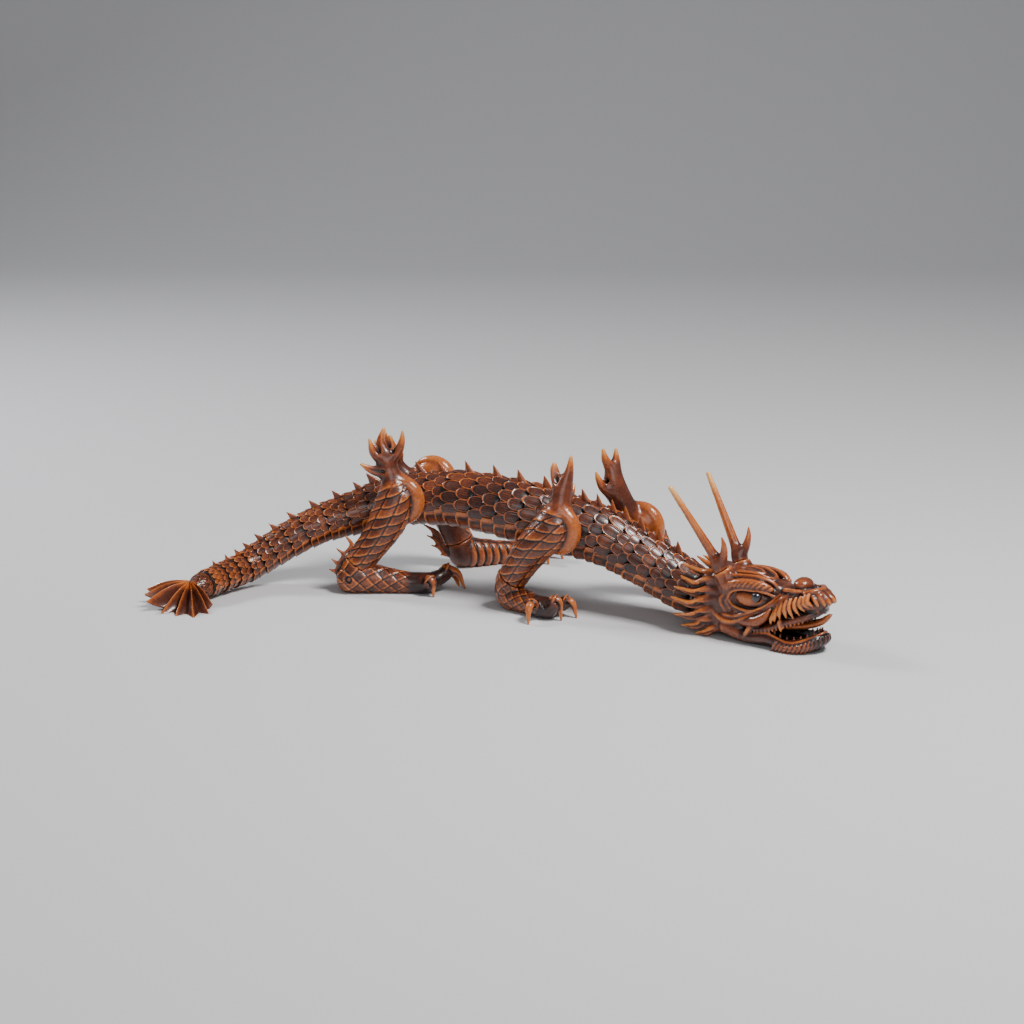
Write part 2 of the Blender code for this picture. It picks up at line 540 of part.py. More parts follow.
def head():
    lump = Lump()

    def ball(x, y, z, rx, ry, rz, pitch=0.0, yaw=0.0, both=False):
        for sgn in ((1, -1) if both else (1,)):
            q = np.array(Matrix.Rotation(math.radians(yaw * sgn), 3, "Z") @ Matrix.Rotation(math.radians(-pitch), 3, "Y"))
            axes = q.T @ HEAD_AXES
            lump.ball(head_point(x, y * sgn, z), (rx, ry, rz), axes)

    def rod(pts, both=False):
        for sgn in ((1, -1) if both else (1,)):
            lump.rod([(*head_point(x, y * sgn, z), r) for x, y, z, r in pts])

    # skull, forehead, muzzle, throat
    ball(-2, 0, 21.5, 18, 15.8, 16.5)
    ball(4, 0, 30, 20, 14, 9.5)
    ball(18, 0, 24, 24, 14.5, 11.5)
    ball(38, 0, 26.5, 22, 12.5, 8.0, pitch=4)
    ball(50, 0, 26.0, 13, 12.0, 4.2, pitch=10)
    ball(56, 0, 28.2, 8, 9.5, 3.2, pitch=4)
    ball(0, 0, 11, 20, 13.5, 11)
    # nose ball, brow ridges, eyes, cheeks, jaw hinge
    ball(44, 0, 34.5, 6.0, 7.5, 5.0)
    rod([(-2, 9, 36.5, 3.4), (10, 12.5, 37, 3.4), (22, 12.5, 35.5, 3.6), (30, 8.5, 33.5, 3.2), (36, 4, 33, 2.6)], True)
    rod([(-4, 4.5, 38.0, 2.6), (10, 5.5, 39.0, 2.8), (24, 4.0, 37.0, 2.6)], True)
    ball(21, 11.5, 28.0, 8.0, 4.2, 5.0, both=True)
    rod([(2, 14, 22, 3.0), (12, 15.5, 16.5, 3.2), (24, 14.5, 20, 2.8), (36, 12.5, 26, 2.6)], True)
    ball(16, 12.0, 15, 10, 4.5, 6, both=True)
    ball(4, 12.0, 10, 7, 4.2, 7, both=True)
    # upper lip fringe and fang
    rod([(24, 13.5, 17.5, 2.6), (34, 13.2, 18.5, 2.6), (44, 12.5, 21, 2.6), (54, 10, 24.0, 2.4), (61, 5, 26.5, 2.2), (64, 0, 27.5, 2.2)], True)
    rod([(40, 10.8, 18, 2.2), (41, 10.6, 13, 0.7)], True)
    # lower jaw: a deep scoop with a raised rim, chin flat on the ground
    rod([(4, 12.0, 8, 5.0), (18, 12.5, 5.0, 3.6), (30, 12.8, 5.5, 3.6), (42, 12.0, 5.0, 3.6),
         (52, 9.0, 7.0, 3.4), (57.5, 4.5, 8.6, 3.2), (59, 0, 9.0, 3.2)], True)
    ball(30, 0, 2.5, 26, 12.0, 5.0, pitch=5)
    ball(42, 0, 1.6, 12, 11.0, 3.5)
    # tongue, curling up at its tip
    rod([(18, 0, 10, 5.0), (34, 0, 10.5, 4.6), (48, 0, 12.0, 3.8), (57, 0, 15.0, 2.6), (63, 0, 20.0, 1.5)])
    # flame-like mane locks sweeping back over the neck
    for ax, ay, az, bx, by, bz, r in (
            (-6, 9, 36, -21, 12.5, 39.5, 2.8), (-7, 12, 31, -24, 16, 33.0, 3.0),
            (-8, 13, 26, -29, 17, 25.5, 3.0), (-8, 14, 20, -30, 18, 18.5, 3.4),
            (-7, 13.5, 13, -27, 17.5, 9.5, 3.4), (-6, 12, 8, -20, 16, 4.5, 3.2), (-2, 11, 5, -10, 15, 1.6, 3.0)):
        mid = ((ax + bx) / 2, (ay + by) / 2 + 1.2, (az + bz) / 2 - 1.2, r * 0.75)
        rod([(ax, ay, az, r), mid, (bx, by, bz, 0.7)], True)
    rod([(-6, 0, 37, 3.0), (-15, 0, 38.5, 2.2), (-23, 0, 41.0, 0.8)])
    ob = lump.solid("head", BOXWOOD, 0.9, 2400, smooth=2)

    # horn seats and pupil sockets
    for sgn in (1, -1):
        base, lean = horn_axis(sgn)
        seat = tool(rod_mesh("horn_seat_%d" % (sgn > 0), base, base + lean * 14, 4.6 + GAP, 24))
        boolean(ob, seat, "DIFFERENCE")
        x, y, z = PUPIL
        eye = sphere("pupil_seat_%d" % (sgn > 0), head_point(x, y * sgn, z), PUPIL_R + GAP, HORN)
        boolean(ob, tool(eye), "DIFFERENCE")
    boolean(ob, BODY_CUT, "DIFFERENCE")
    boolean(ob, GROUND, "DIFFERENCE")
    return ob


def horn_axis(sgn):
    base = head_point(HORN_BASE[0], HORN_BASE[1] * sgn, HORN_BASE[2])
    x, y, z = HORN_LEAN[sgn]
    lean = unit(HEAD_F * x + HEAD_L * y * sgn + np.array([0, 0, z]))
    return base, lean


def rod_mesh(name, a, b, r, seg):
    d = Vector(b) - Vector(a)
    bm = bmesh.new()
    bmesh.ops.create_cone(bm, cap_ends=True, segments=seg, radius1=r * MM, radius2=r * MM, depth=d.length * MM)
    mid = (Vector(a) + Vector(b)) / 2 - Vector(ORIGIN)
    bm.transform(Matrix.Translation(mid * MM) @ d.to_track_quat("Z", "Y").to_matrix().to_4x4())
    me = bpy.data.meshes.new(name)
    bm.to_mesh(me)
    bm.free()
    ob = bpy.data.objects.new(name, me)
    model.objects.link(ob)
    me.materials.append(BOXWOOD)
    return ob


def sphere(name, c, r, mat, seg=10):
    bm = bmesh.new()
    bmesh.ops.create_uvsphere(bm, u_segments=seg, v_segments=seg // 2 + 2, radius=r * MM)
    bm.transform(Matrix.Translation((Vector(c) - Vector(ORIGIN)) * MM))
    me = bpy.data.meshes.new(name)
    bm.to_mesh(me)
    bm.free()
    me.materials.append(mat)
    ob = bpy.data.objects.new(name, me)
    model.objects.link(ob)
    return ob


def horn(sgn, name):
    """A long straight horn with one short front prong by its foot."""
    base, lean = horn_axis(sgn)
    start = base + lean * GAP
    fwd = unit(HEAD_F - lean * float(HEAD_F @ lean))
    length = 54.5
    lump = Lump()
    line = [(*(start + lean * t * length + fwd * bow), r) for t, bow, r in
            ((-0.04, 0, 4.4), (0.05, 0, 4.3), (0.12, 0.3, 3.8), (0.2, 0.2, 2.9), (0.45, 0, 2.4), (0.75, -0.4, 1.9), (1.0, -0.8, 1.5))]
    lump.rod(line, n=4)
    foot = start + lean * 4.0
    lump.rod([(*(foot + fwd * 1.0), 3.4), (*(foot + fwd * 5.6 + lean * 2.2), 2.6), (*(foot + fwd * 9.8 + lean * 7.0), 1.7), (*(foot + fwd * 12.0 + lean * 12.0), 0.6)], n=5)
    ob = lump.solid(name, BOXWOOD, 0.6, 190, smooth=2)
    cut = limb_cut("foot_" + name, start, lean, 1, size=9.0)
    boolean(ob, cut, "DIFFERENCE")
    return ob


def pupil(sgn, name):
    x, y, z = PUPIL
    return sphere(name, head_point(x, y * sgn, z), PUPIL_R, HORN)


tail_fan()
for key, d in LEGS.items():
    upper_leg(key, d)
    lower_leg(key, d)
head()
horn(1, "horn_left")
horn(-1, "horn_right")
pupil(1, "pupil_left")
pupil(-1, "pupil_right")
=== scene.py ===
"""Looks of the articulated carved boxwood dragon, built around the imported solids.

Lengths in the design tables are millimetres; MM and ORIGIN take them into the
shared frame, the same way as for the solids.
"""

import math

import bpy
import bmesh
import numpy as np
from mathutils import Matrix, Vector


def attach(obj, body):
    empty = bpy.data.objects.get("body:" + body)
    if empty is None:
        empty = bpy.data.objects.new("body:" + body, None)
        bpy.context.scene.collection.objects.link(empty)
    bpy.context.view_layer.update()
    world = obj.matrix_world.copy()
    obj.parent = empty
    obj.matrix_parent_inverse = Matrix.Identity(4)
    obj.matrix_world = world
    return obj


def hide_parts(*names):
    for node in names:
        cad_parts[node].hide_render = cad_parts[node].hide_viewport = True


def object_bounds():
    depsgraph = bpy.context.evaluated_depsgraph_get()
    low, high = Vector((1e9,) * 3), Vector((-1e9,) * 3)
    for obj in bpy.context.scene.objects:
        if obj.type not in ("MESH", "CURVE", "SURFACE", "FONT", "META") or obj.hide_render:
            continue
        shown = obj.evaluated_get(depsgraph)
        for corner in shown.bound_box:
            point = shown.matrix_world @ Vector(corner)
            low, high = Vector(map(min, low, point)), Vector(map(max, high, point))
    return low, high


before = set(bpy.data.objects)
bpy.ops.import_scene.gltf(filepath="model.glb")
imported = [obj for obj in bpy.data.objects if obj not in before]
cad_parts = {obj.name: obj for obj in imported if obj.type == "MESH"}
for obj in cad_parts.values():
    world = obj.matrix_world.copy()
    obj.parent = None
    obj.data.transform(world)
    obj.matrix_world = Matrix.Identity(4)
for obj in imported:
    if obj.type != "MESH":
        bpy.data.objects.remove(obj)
cad_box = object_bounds()

MM = 0.001
ORIGIN = np.array([-5.28, 16.09, 0.0])
FLARE = 1.05

SPINE_LINE = [
    (-167.5, 22.0, 9.0, 7.6), (-157.5, 35.0, 10.0, 8.4), (-144.0, 48.0, 13.0, 9.4),
    (-120.5, 57.0, 26.0, 10.6), (-102.5, 60.5, 34.5, 11.4), (-84.5, 63.0, 40.0, 12.6),
    (-54.5, 63.0, 49.0, 15.0), (-30.0, 54.0, 52.5, 15.8), (-12.0, 44.0, 54.0, 16.6),
    (17.5, 28.0, 51.5, 17.8), (40.5, 19.5, 47.0, 17.7), (66.5, 5.0, 42.5, 16.6),
    (88.0, -8.5, 33.2, 15.2), (101.5, -17.0, 26.5, 15.0), (112.0, -25.5, 21.8, 14.4),
    (119.5, -31.5, 19.8, 13.8)]
TAIL_RINGS = [13.3, 9.5, 10.4, 10.0, 9.5, 10.8, 12.2, 13.3, 14.0, 14.0]
TRUNK_RINGS = [13.5, 13.0, 14.0, 15.0, 18.0, 16.7, 13.0, 15.8, 13.0]
NECK_RINGS = [9.0, 8.0, 7.0, 9.0, 11.5, 15.0, 13.5, 14.0]
THORN = {"tail": 5.6, "trunk": 7.3, "neck": 7.0}
THORN_AT = {"tail": 0.72, "trunk": 0.42, "neck": 0.42}

HEAD_YAW = -36.0
HEAD_AT = np.array([136.0, -43.0, 0.0])
HEAD_F = np.array([math.cos(math.radians(HEAD_YAW)), math.sin(math.radians(HEAD_YAW)), 0.0])
HEAD_L = np.array([-HEAD_F[1], HEAD_F[0], 0.0])
HORN_BASE = (-0.5, 10.0, 39.0)
HORN_LEAN = {1: (-27.6, 9.4, 45.5), -1: (-29.0, 8.5, 45.0)}
PUPIL = (24.3, 15.0, 28.8)
PUPIL_R = 2.3
RNG = np.random.default_rng(7)
CAD_LO, CAD_HI = (np.array([float(c) for c in corner]) for corner in cad_box)


def unit(v):
    v = np.asarray(v, float)
    return v / np.linalg.norm(v)


def smooth_line(pts, n=8):
    """A smooth curve through the rows of pts, radii and all."""
    p = np.asarray(pts, float)
    if len(p) < 3:
        t = np.linspace(0, 1, n + 1)[:, None]
        return p[0] * (1 - t) + p[1] * t
    q = np.vstack([2 * p[0] - p[1], p, 2 * p[-1] - p[-2]])
    out = []
    for i in range(1, len(q) - 2):
        a, b, c, d = q[i - 1], q[i], q[i + 1], q[i + 2]
        for k in range(n):
            t = k / n
            out.append(0.5 * (2 * b + (c - a) * t + (2 * a - 5 * b + 4 * c - d) * t * t
                              + (3 * b - a - 3 * c + d) * t ** 3))
    out.append(q[-2])
    return np.array(out)


class Path:
    """The body's centre line by arc length, with side and up directions."""

    def __init__(self, pts):
        self.d = smooth_line(pts, 40)
        seg = np.linalg.norm(np.diff(self.d[:, :3], axis=0), axis=1)
        self.s = np.r_[0, np.cumsum(seg)]
        self.length = self.s[-1]

    def frames(self, s):
        """Centre, radius, side and up directions and tangent for an array of stations."""
        s = np.atleast_1d(np.asarray(s, float))
        near = np.clip(s, 0, self.length)
        c = np.stack([np.interp(near, self.s, self.d[:, k]) for k in range(4)], 1)
        lo, hi = np.clip(near - 1.5, 0, None), np.clip(near + 1.5, None, self.length)
        a = np.stack([np.interp(lo, self.s, self.d[:, k]) for k in range(3)], 1)
        b = np.stack([np.interp(hi, self.s, self.d[:, k]) for k in range(3)], 1)
        t = b - a
        t /= np.linalg.norm(t, axis=1)[:, None]
        side = np.cross(t, (0, 0, 1.0))
        side /= np.linalg.norm(side, axis=1)[:, None]
        up = np.cross(side, t)
        return c[:, :3] + t * (s - near)[:, None], c[:, 3], side, up, t

    def skin(self, s, th, h=0.0, scale=1.0):
        """A point on the body's skin: station, angle from the back, height off the skin."""
        s, th = np.broadcast_arrays(np.asarray(s, float), np.asarray(th, float))
        h = np.broadcast_to(h, s.shape)
        c, r, side, up, t = self.frames(s.ravel())
        x, z = np.sin(th.ravel()), np.cos(th.ravel())
        flat = np.where(z > 0, 1.0, 1.0 - 0.06 * z * z)
        rr = (r * scale + h.ravel())[:, None]
        p = c + side * x[:, None] * rr + up * (z * flat)[:, None] * rr
        return p.reshape(s.shape + (3,))


BODY = Path(SPINE_LINE)

# ------------------------------------------------------------------ materials


def new_material(name):
    m = bpy.data.materials.new(name)
    m.use_nodes = True
    nt = m.node_tree
    for n in list(nt.nodes):
        nt.nodes.remove(n)
    out = nt.nodes.new("ShaderNodeOutputMaterial")
    b = nt.nodes.new("ShaderNodeBsdfPrincipled")
    nt.links.new(b.outputs[0], out.inputs[0])
    return m, nt, b


def ramp(nt, stops, fac):
    r = nt.nodes.new("ShaderNodeValToRGB")
    e = r.color_ramp.elements
    while len(e) > 1:
        e.remove(e[-1])
    e[0].position, e[0].color = stops[0][0], (*stops[0][1], 1)
    for p, c in stops[1:]:
        x = e.new(p)
        x.color = (*c, 1)
    nt.links.new(fac, r.inputs[0])
    return r.outputs[0]


def math_node(nt, op, a, b=None, clamp=False):
    n = nt.nodes.new("ShaderNodeMath")
    n.operation = op
    n.use_clamp = clamp
    for i, v in enumerate((a, b)):
        if v is None:
            continue
        if isinstance(v, (int, float)):
            n.inputs[i].default_value = v
        else:
            nt.links.new(v, n.inputs[i])
    return n.outputs[0]


def noise(nt, vec, scale, detail=4.0, rough=0.55):
    n = nt.nodes.new("ShaderNodeTexNoise")
    n.inputs["Scale"].default_value = scale
    n.inputs["Detail"].default_value = detail
    n.inputs["Roughness"].default_value = rough
    nt.links.new(vec, n.inputs["Vector"])
    return n.outputs["Fac"]


def wood_material():
    """Stained boxwood: dark patina in the hollows, worn orange on the high edges; the per-vertex wear values also carry
    painted shade under the scales and inside the mouth.
    """
    m, nt, b = new_material("boxwood_patina_and_shade")
    co = nt.nodes.new("ShaderNodeTexCoord").outputs["Object"]
    wear_and_shade = nt.nodes.new("ShaderNodeAttribute")
    wear_and_shade.attribute_name = "wear_and_shade"
    tone = nt.nodes.new("ShaderNodeAttribute")
    tone.attribute_name = "tone"
    stretch = nt.nodes.new("ShaderNodeMapping")
    stretch.inputs["Scale"].default_value = (0.25, 1.0, 1.0)
    stretch.inputs["Rotation"].default_value = (0.0, 0.2, 0.35)
    nt.links.new(co, stretch.inputs["Vector"])
    blotch = noise(nt, co, 75.0, 3.0)
    fine = noise(nt, co, 620.0, 5.0, 0.6)
    grain = noise(nt, stretch.outputs[0], 1700.0, 4.0, 0.6)
    w = math_node(nt, "ADD", wear_and_shade.outputs["Fac"], math_node(nt, "MULTIPLY", math_node(nt, "SUBTRACT", blotch, 0.5), 0.75))
    w = math_node(nt, "ADD", w, math_node(nt, "MULTIPLY", math_node(nt, "SUBTRACT", fine, 0.5), 0.85))
    w = math_node(nt, "ADD", w, math_node(nt, "MULTIPLY", math_node(nt, "SUBTRACT", grain, 0.5), 0.40))
    hat = nt.nodes.new("ShaderNodeAttribute")
    hat.attribute_name = "hatch"
    sep = nt.nodes.new("ShaderNodeSeparateXYZ")
    nt.links.new(hat.outputs["Vector"], sep.inputs[0])
    wob = math_node(nt, "MULTIPLY", math_node(nt, "SUBTRACT", noise(nt, co, 260.0, 2.0), 0.5), 5.0)
    lines = math_node(nt, "SINE", math_node(nt, "ADD", math_node(nt, "MULTIPLY", sep.outputs[1], 8.5), wob))
    lines = math_node(nt, "MULTIPLY", lines, sep.outputs[2])
    w = math_node(nt, "ADD", w, math_node(nt, "MULTIPLY", lines, 0.20))
    f = math_node(nt, "MULTIPLY_ADD", w, 0.5)
    f.node.inputs[2].default_value = 0.5
    f.node.use_clamp = True
    aged = ramp(nt, [(0.0, (0.005, 0.0028, 0.0028)), (0.25, (0.020, 0.0072, 0.0058)), (0.43, (0.058, 0.0155, 0.0095)),
                     (0.58, (0.135, 0.031, 0.0125)), (0.78, (0.33, 0.078, 0.019)), (1.0, (0.55, 0.15, 0.031))], f)
    warm = ramp(nt, [(0.0, (0.010, 0.004, 0.003)), (0.25, (0.050, 0.0125, 0.0065)), (0.45, (0.165, 0.036, 0.0115)),
                     (0.62, (0.32, 0.074, 0.017)), (0.8, (0.46, 0.120, 0.025)), (1.0, (0.64, 0.205, 0.042))], f)
    pale = ramp(nt, [(0.0, (0.20, 0.05, 0.011)), (0.35, (0.48, 0.15, 0.03)), (0.7, (0.72, 0.30, 0.06)), (1.0, (0.90, 0.55, 0.20))], f)
    mix = nt.nodes.new("ShaderNodeMix")
    mix.data_type = "RGBA"
    nt.links.new(math_node(nt, "MULTIPLY", tone.outputs["Fac"], 1.0, True), mix.inputs[0])
    nt.links.new(aged, mix.inputs[6])
    nt.links.new(warm, mix.inputs[7])
    mix2 = nt.nodes.new("ShaderNodeMix")
    mix2.data_type = "RGBA"
    nt.links.new(math_node(nt, "SUBTRACT", tone.outputs["Fac"], 1.0, True), mix2.inputs[0])
    nt.links.new(mix.outputs[2], mix2.inputs[6])
    nt.links.new(pale, mix2.inputs[7])
    nt.links.new(mix2.outputs[2], b.inputs["Base Color"])
    ro = math_node(nt, "MULTIPLY_ADD", f, -0.22)
    ro.node.inputs[2].default_value = 0.42
    ro2 = math_node(nt, "ADD", ro, math_node(nt, "MULTIPLY", math_node(nt, "SUBTRACT", fine, 0.5), 0.25))
    nt.links.new(ro2, b.inputs["Roughness"])
    b.inputs["Specular IOR Level"].default_value = 0.42
    b.inputs["Coat Weight"].default_value = 0.36
    b.inputs["Coat Roughness"].default_value = 0.12
    bump = nt.nodes.new("ShaderNodeBump")
    bump.inputs["Strength"].default_value = 0.35
    bump.inputs["Distance"].default_value = 0.00012
    hgt = math_node(nt, "ADD", math_node(nt, "MULTIPLY", fine, 0.6), math_node(nt, "MULTIPLY", grain, 0.5))
    hgt = math_node(nt, "ADD", hgt, math_node(nt, "MULTIPLY", lines, 0.55))
    nt.links.new(hgt, bump.inputs["Height"])
    nt.links.new(bump.outputs[0], b.inputs["Normal"])
    return m


def pupil_material():
    m, nt, b = new_material("dark_horn")
    co = nt.nodes.new("ShaderNodeTexCoord").outputs["Object"]
    f = noise(nt, co, 900.0, 3.0)
    col = ramp(nt, [(0.3, (0.006, 0.007, 0.010)), (0.7, (0.022, 0.022, 0.030))], f)
    nt.links.new(col, b.inputs["Base Color"])
    b.inputs["Roughness"].default_value = 0.14
    b.inputs["Coat Weight"].default_value = 0.8
    b.inputs["Coat Roughness"].default_value = 0.05
    return m


WOOD = wood_material()
BEAD = pupil_material()


def make_piece(name, verts, faces, wear_and_shade, tone, mat, nodes, slot="boxwood", smooth=True):
    """Turns arrays in millimetres into a piece that stands for the named nodes."""
    v = (np.asarray(verts, float) - ORIGIN) * MM
    v = np.clip(v, CAD_LO, CAD_HI)
    me = bpy.data.meshes.new(name)
    me.from_pydata(v.tolist(), [], faces if isinstance(faces, list) else faces.tolist())
    for key, val in (("wear_and_shade", wear_and_shade), ("tone", tone)):
        a = me.attributes.new(key, "FLOAT", "POINT")
        a.data.foreach_set("value", np.broadcast_to(np.asarray(val, np.float32), (len(v),)).astype(np.float32).copy())
    me.materials.append(mat)
    me.polygons.foreach_set("use_smooth", [smooth] * len(me.polygons))
    me.update()
    me.validate()
    ob = bpy.data.objects.new(name, me)
    bpy.context.scene.collection.objects.link(ob)
    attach(ob, "root")
    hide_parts(*nodes)
    return ob


class Soup:
    """Gathers closed shells with their wear-and-painted-shade and tone values into one mesh."""

    def __init__(self):
        self.v, self.f, self.w, self.t, self.n = [], [], [], [], 0

    def add(self, verts, faces, wear_and_shade, tone):
        verts = np.asarray(verts, float).reshape(-1, 3)
        self.v.append(verts)
        self.w.append(np.broadcast_to(wear_and_shade, (len(verts),)))
        self.t.append(np.broadcast_to(tone, (len(verts),)))
        self.f += [tuple(int(i) + self.n for i in f) for f in faces]
        self.n += len(verts)

    def piece(self, name, nodes, mat=None, **kw):
        return make_piece(name, np.vstack(self.v), self.f, np.concatenate(self.w), np.concatenate(self.t),
                          mat or WOOD, nodes, **kw)


# -------------------------------------------------------- distance fields
def smin(a, b, k):
    if k <= 0:
        return np.minimum(a, b)
    h = np.maximum(k - np.abs(a - b), 0.0) / k
    return np.minimum(a, b) - h * h * (k * 0.25)


def smax(a, b, k):
    return -smin(-a, -b, k)


class Field:
    """A distance field on a grid, carved and added to with soft joins."""

    FAR = 8.0

    def __init__(self, lo, hi, h):
        self.lo, self.h = np.asarray(lo, float), h
        self.n = np.ceil((np.asarray(hi, float) - self.lo) / h).astype(int) + 1
        self.d = np.full(self.n, self.FAR, np.float32)

    def window(self, lo, hi):
        a = np.clip(np.floor((np.asarray(lo) - self.lo) / self.h).astype(int), 0, self.n)
        b = np.clip(np.ceil((np.asarray(hi) - self.lo) / self.h).astype(int) + 1, 0, self.n)
        sl = tuple(slice(a[k], b[k]) for k in range(3))
        ax = [(self.lo[k] + self.h * np.arange(a[k], b[k])).astype(np.float32) for k in range(3)]
        return sl, ax[0][:, None, None], ax[1][None, :, None], ax[2][None, None, :]

    def put(self, sl, d, k, cut=False):
        if min(d.shape) == 0:
            return
        self.d[sl] = smax(self.d[sl], -d, k) if cut else smin(self.d[sl], d, k)

    def chain(self, pts, k=1.0, cut=False, n=5, squash=None):
        """A rod through x, y, z, radius rows; squash=(axis, factor) flattens it."""
        p = smooth_line(pts, n).astype(np.float32)
        pad = 2.5 + k
        lo = (p[:, :3] - p[:, 3:]).min(0) - pad
        hi = (p[:, :3] + p[:, 3:]).max(0) + pad
        sl, X, Y, Z = self.window(lo, hi)
        d = np.full(self.d[sl].shape, 99.0, np.float32)
        if min(d.shape) == 0:
            return
        s = np.ones(3, np.float32)
        if squash:
            s[squash[0]] = 1.0 / squash[1]
        for a, b in zip(p[:-1], p[1:]):
            ab = (b[:3] - a[:3]) * s
            ll = max(float(ab @ ab), 1e-9)
            x, y, z = (X - a[0]) * s[0], (Y - a[1]) * s[1], (Z - a[2]) * s[2]
            t = np.clip((x * ab[0] + y * ab[1] + z * ab[2]) / ll, 0, 1)
            e = np.sqrt((x - t * ab[0]) ** 2 + (y - t * ab[1]) ** 2 + (z - t * ab[2]) ** 2) - (a[3] + (b[3] - a[3]) * t)
            np.minimum(d, e, out=d)
        self.put(sl, d, k, cut)

    def ball(self, c, r, k=2.0, cut=False, axes=None):
        c, r = np.asarray(c, float), np.broadcast_to(np.asarray(r, float), (3,))
        pad = 2.5 + k
        m = r.max() + pad
        ext = np.full(3, m) if axes is not None else r + pad
        sl, X, Y, Z = self.window(c - ext, c + ext)
        if min(self.d[sl].shape) == 0:
            return
        x, y, z = X - c[0], Y - c[1], Z - c[2]
        if axes is not None:
            A = np.asarray(axes, np.float32)
            x, y, z = (x * A[i, 0] + y * A[i, 1] + z * A[i, 2] for i in range(3))
        k0 = np.sqrt((x / r[0]) ** 2 + (y / r[1]) ** 2 + (z / r[2]) ** 2)
        k1 = np.sqrt((x / r[0] ** 2) ** 2 + (y / r[1] ** 2) ** 2 + (z / r[2] ** 2) ** 2)
        d = (k0 * (k0 - 1.0) / np.maximum(k1, 1e-6)).astype(np.float32)
        self.put(sl, d, k, cut)

    def points(self):
        ax = [self.lo[k] + self.h * np.arange(self.n[k]) for k in range(3)]
        return ax[0][:, None, None], ax[1][None, :, None], ax[2][None, None, :]

    def band(self, width):
        """Indices and positions of the grid points near the surface."""
        idx = np.nonzero(np.abs(self.d) < width)
        pos = np.stack(idx, 1) * self.h + self.lo
        return idx, pos

    def mirrored_y(self):
        """The whole field from the half with y >= 0, whose first row is y = 0."""
        f = Field.__new__(Field)
        f.h = self.h
        f.d = np.concatenate([self.d[:, :0:-1], self.d], axis=1)
        f.n = np.array(f.d.shape)
        f.lo = self.lo.copy()
        f.lo[1] = -self.h * (self.n[1] - 1)
        return f

    def mesh(self):
        """Surface nets: one vertex a cell that the surface passes, one quad a crossing."""
        d = np.pad(self.d, 1, constant_values=self.FAR)
        s = d < 0
        n = np.array(d.shape)
        cnt = np.zeros(n - 1, np.int8)
        for dx in (0, 1):
            for dy in (0, 1):
                for dz in (0, 1):
                    cnt += s[dx:n[0] - 1 + dx, dy:n[1] - 1 + dy, dz:n[2] - 1 + dz]
        act = (cnt > 0) & (cnt < 8)
        ids = np.full(act.shape, -1, np.int64)
        cell = np.nonzero(act)
        ids[cell] = np.arange(len(cell[0]))
        pos = np.zeros((len(cell[0]), 3))
        num = np.zeros(len(cell[0]))
        corners = [(x, y, z) for x in (0, 1) for y in (0, 1) for z in (0, 1)]
        val = {c: d[cell[0] + c[0], cell[1] + c[1], cell[2] + c[2]].astype(float) for c in corners}
        for a in corners:
            for ax in range(3):
                if a[ax]:
                    continue
                b = tuple(1 if i == ax else a[i] for i in range(3))
                va, vb = val[a], val[b]
                hit = (va < 0) != (vb < 0)
                t = np.where(hit, va / np.where(hit, va - vb, 1.0), 0.0)
                for i in range(3):
                    pos[:, i] += np.where(hit, a[i] + (t if i == ax else 0.0), 0.0)
                num += hit
        pos = (pos / num[:, None] + np.stack(cell, 1) - 1) * self.h + self.lo
        quads = []
        for ax in range(3):
            o = [i for i in range(3) if i != ax]
            sl0 = [slice(1, -1)] * 3
            sl1 = [slice(1, -1)] * 3
            sl0[ax], sl1[ax] = slice(0, -1), slice(1, None)
            s0, s1 = s[tuple(sl0)], s[tuple(sl1)]
            for inside, flip in ((s0 & ~s1, False), (~s0 & s1, True)):
                e = list(np.nonzero(inside))
                for i in o:
                    e[i] = e[i] + 1
                def at(da, db):
                    j = [e[0], e[1], e[2]]
                    j[o[0]] = j[o[0]] - da
                    j[o[1]] = j[o[1]] - db
                    return ids[tuple(j)]
                q = np.stack([at(1, 1), at(0, 1), at(0, 0), at(1, 0)], 1)
                if (ax == 1) ^ flip:
                    q = q[:, ::-1]
                quads.append(q)
        return pos, np.vstack(quads)

    def blurred(self, radius):
        d = np.clip(self.d, -3.0 * radius, 3.0 * radius).astype(np.float32)
        m = max(1, int(round(radius / self.h)))
        for _ in range(2):
            for ax in range(3):
                p = np.pad(d, [(m + 1, m) if i == ax else (0, 0) for i in range(3)], mode="edge")
                c = np.cumsum(p, axis=ax, dtype=np.float64)
                hi = [slice(None)] * 3
                lo = [slice(None)] * 3
                hi[ax], lo[ax] = slice(2 * m + 1, None), slice(0, -(2 * m + 1))
                d = ((c[tuple(hi)] - c[tuple(lo)]) / (2 * m + 1)).astype(np.float32)
        return d

    def sample(self, arr, pos):
        g = (pos - self.lo) / self.h
        g = np.clip(g, 0, np.array(arr.shape) - 1.001)
        i = np.floor(g).astype(int)
        f = g - i
        out = 0
        for dx in (0, 1):
            for dy in (0, 1):
                for dz in (0, 1):
                    w = (f[:, 0] if dx else 1 - f[:, 0]) * (f[:, 1] if dy else 1 - f[:, 1]) * (f[:, 2] if dz else 1 - f[:, 2])
                    out = out + w * arr[i[:, 0] + dx, i[:, 1] + dy, i[:, 2] + dz]
        return out

    def wear_and_shade(self, pos, fine=0.7, broad=2.2):
        """How proud or sunk the surface is at each vertex, about -1 to 1."""
        a = self.sample(self.blurred(fine), pos) / fine
        b = self.sample(self.blurred(broad), pos) / broad
        return np.clip(a * 2.0 + b * 0.7, -0.85, 0.8)


def relief(field, width, fn):
    """Lowers the field by fn(positions) near its surface, which raises relief."""
    idx, pos = field.band(width)
    field.d[idx] -= fn(pos).astype(np.float32)


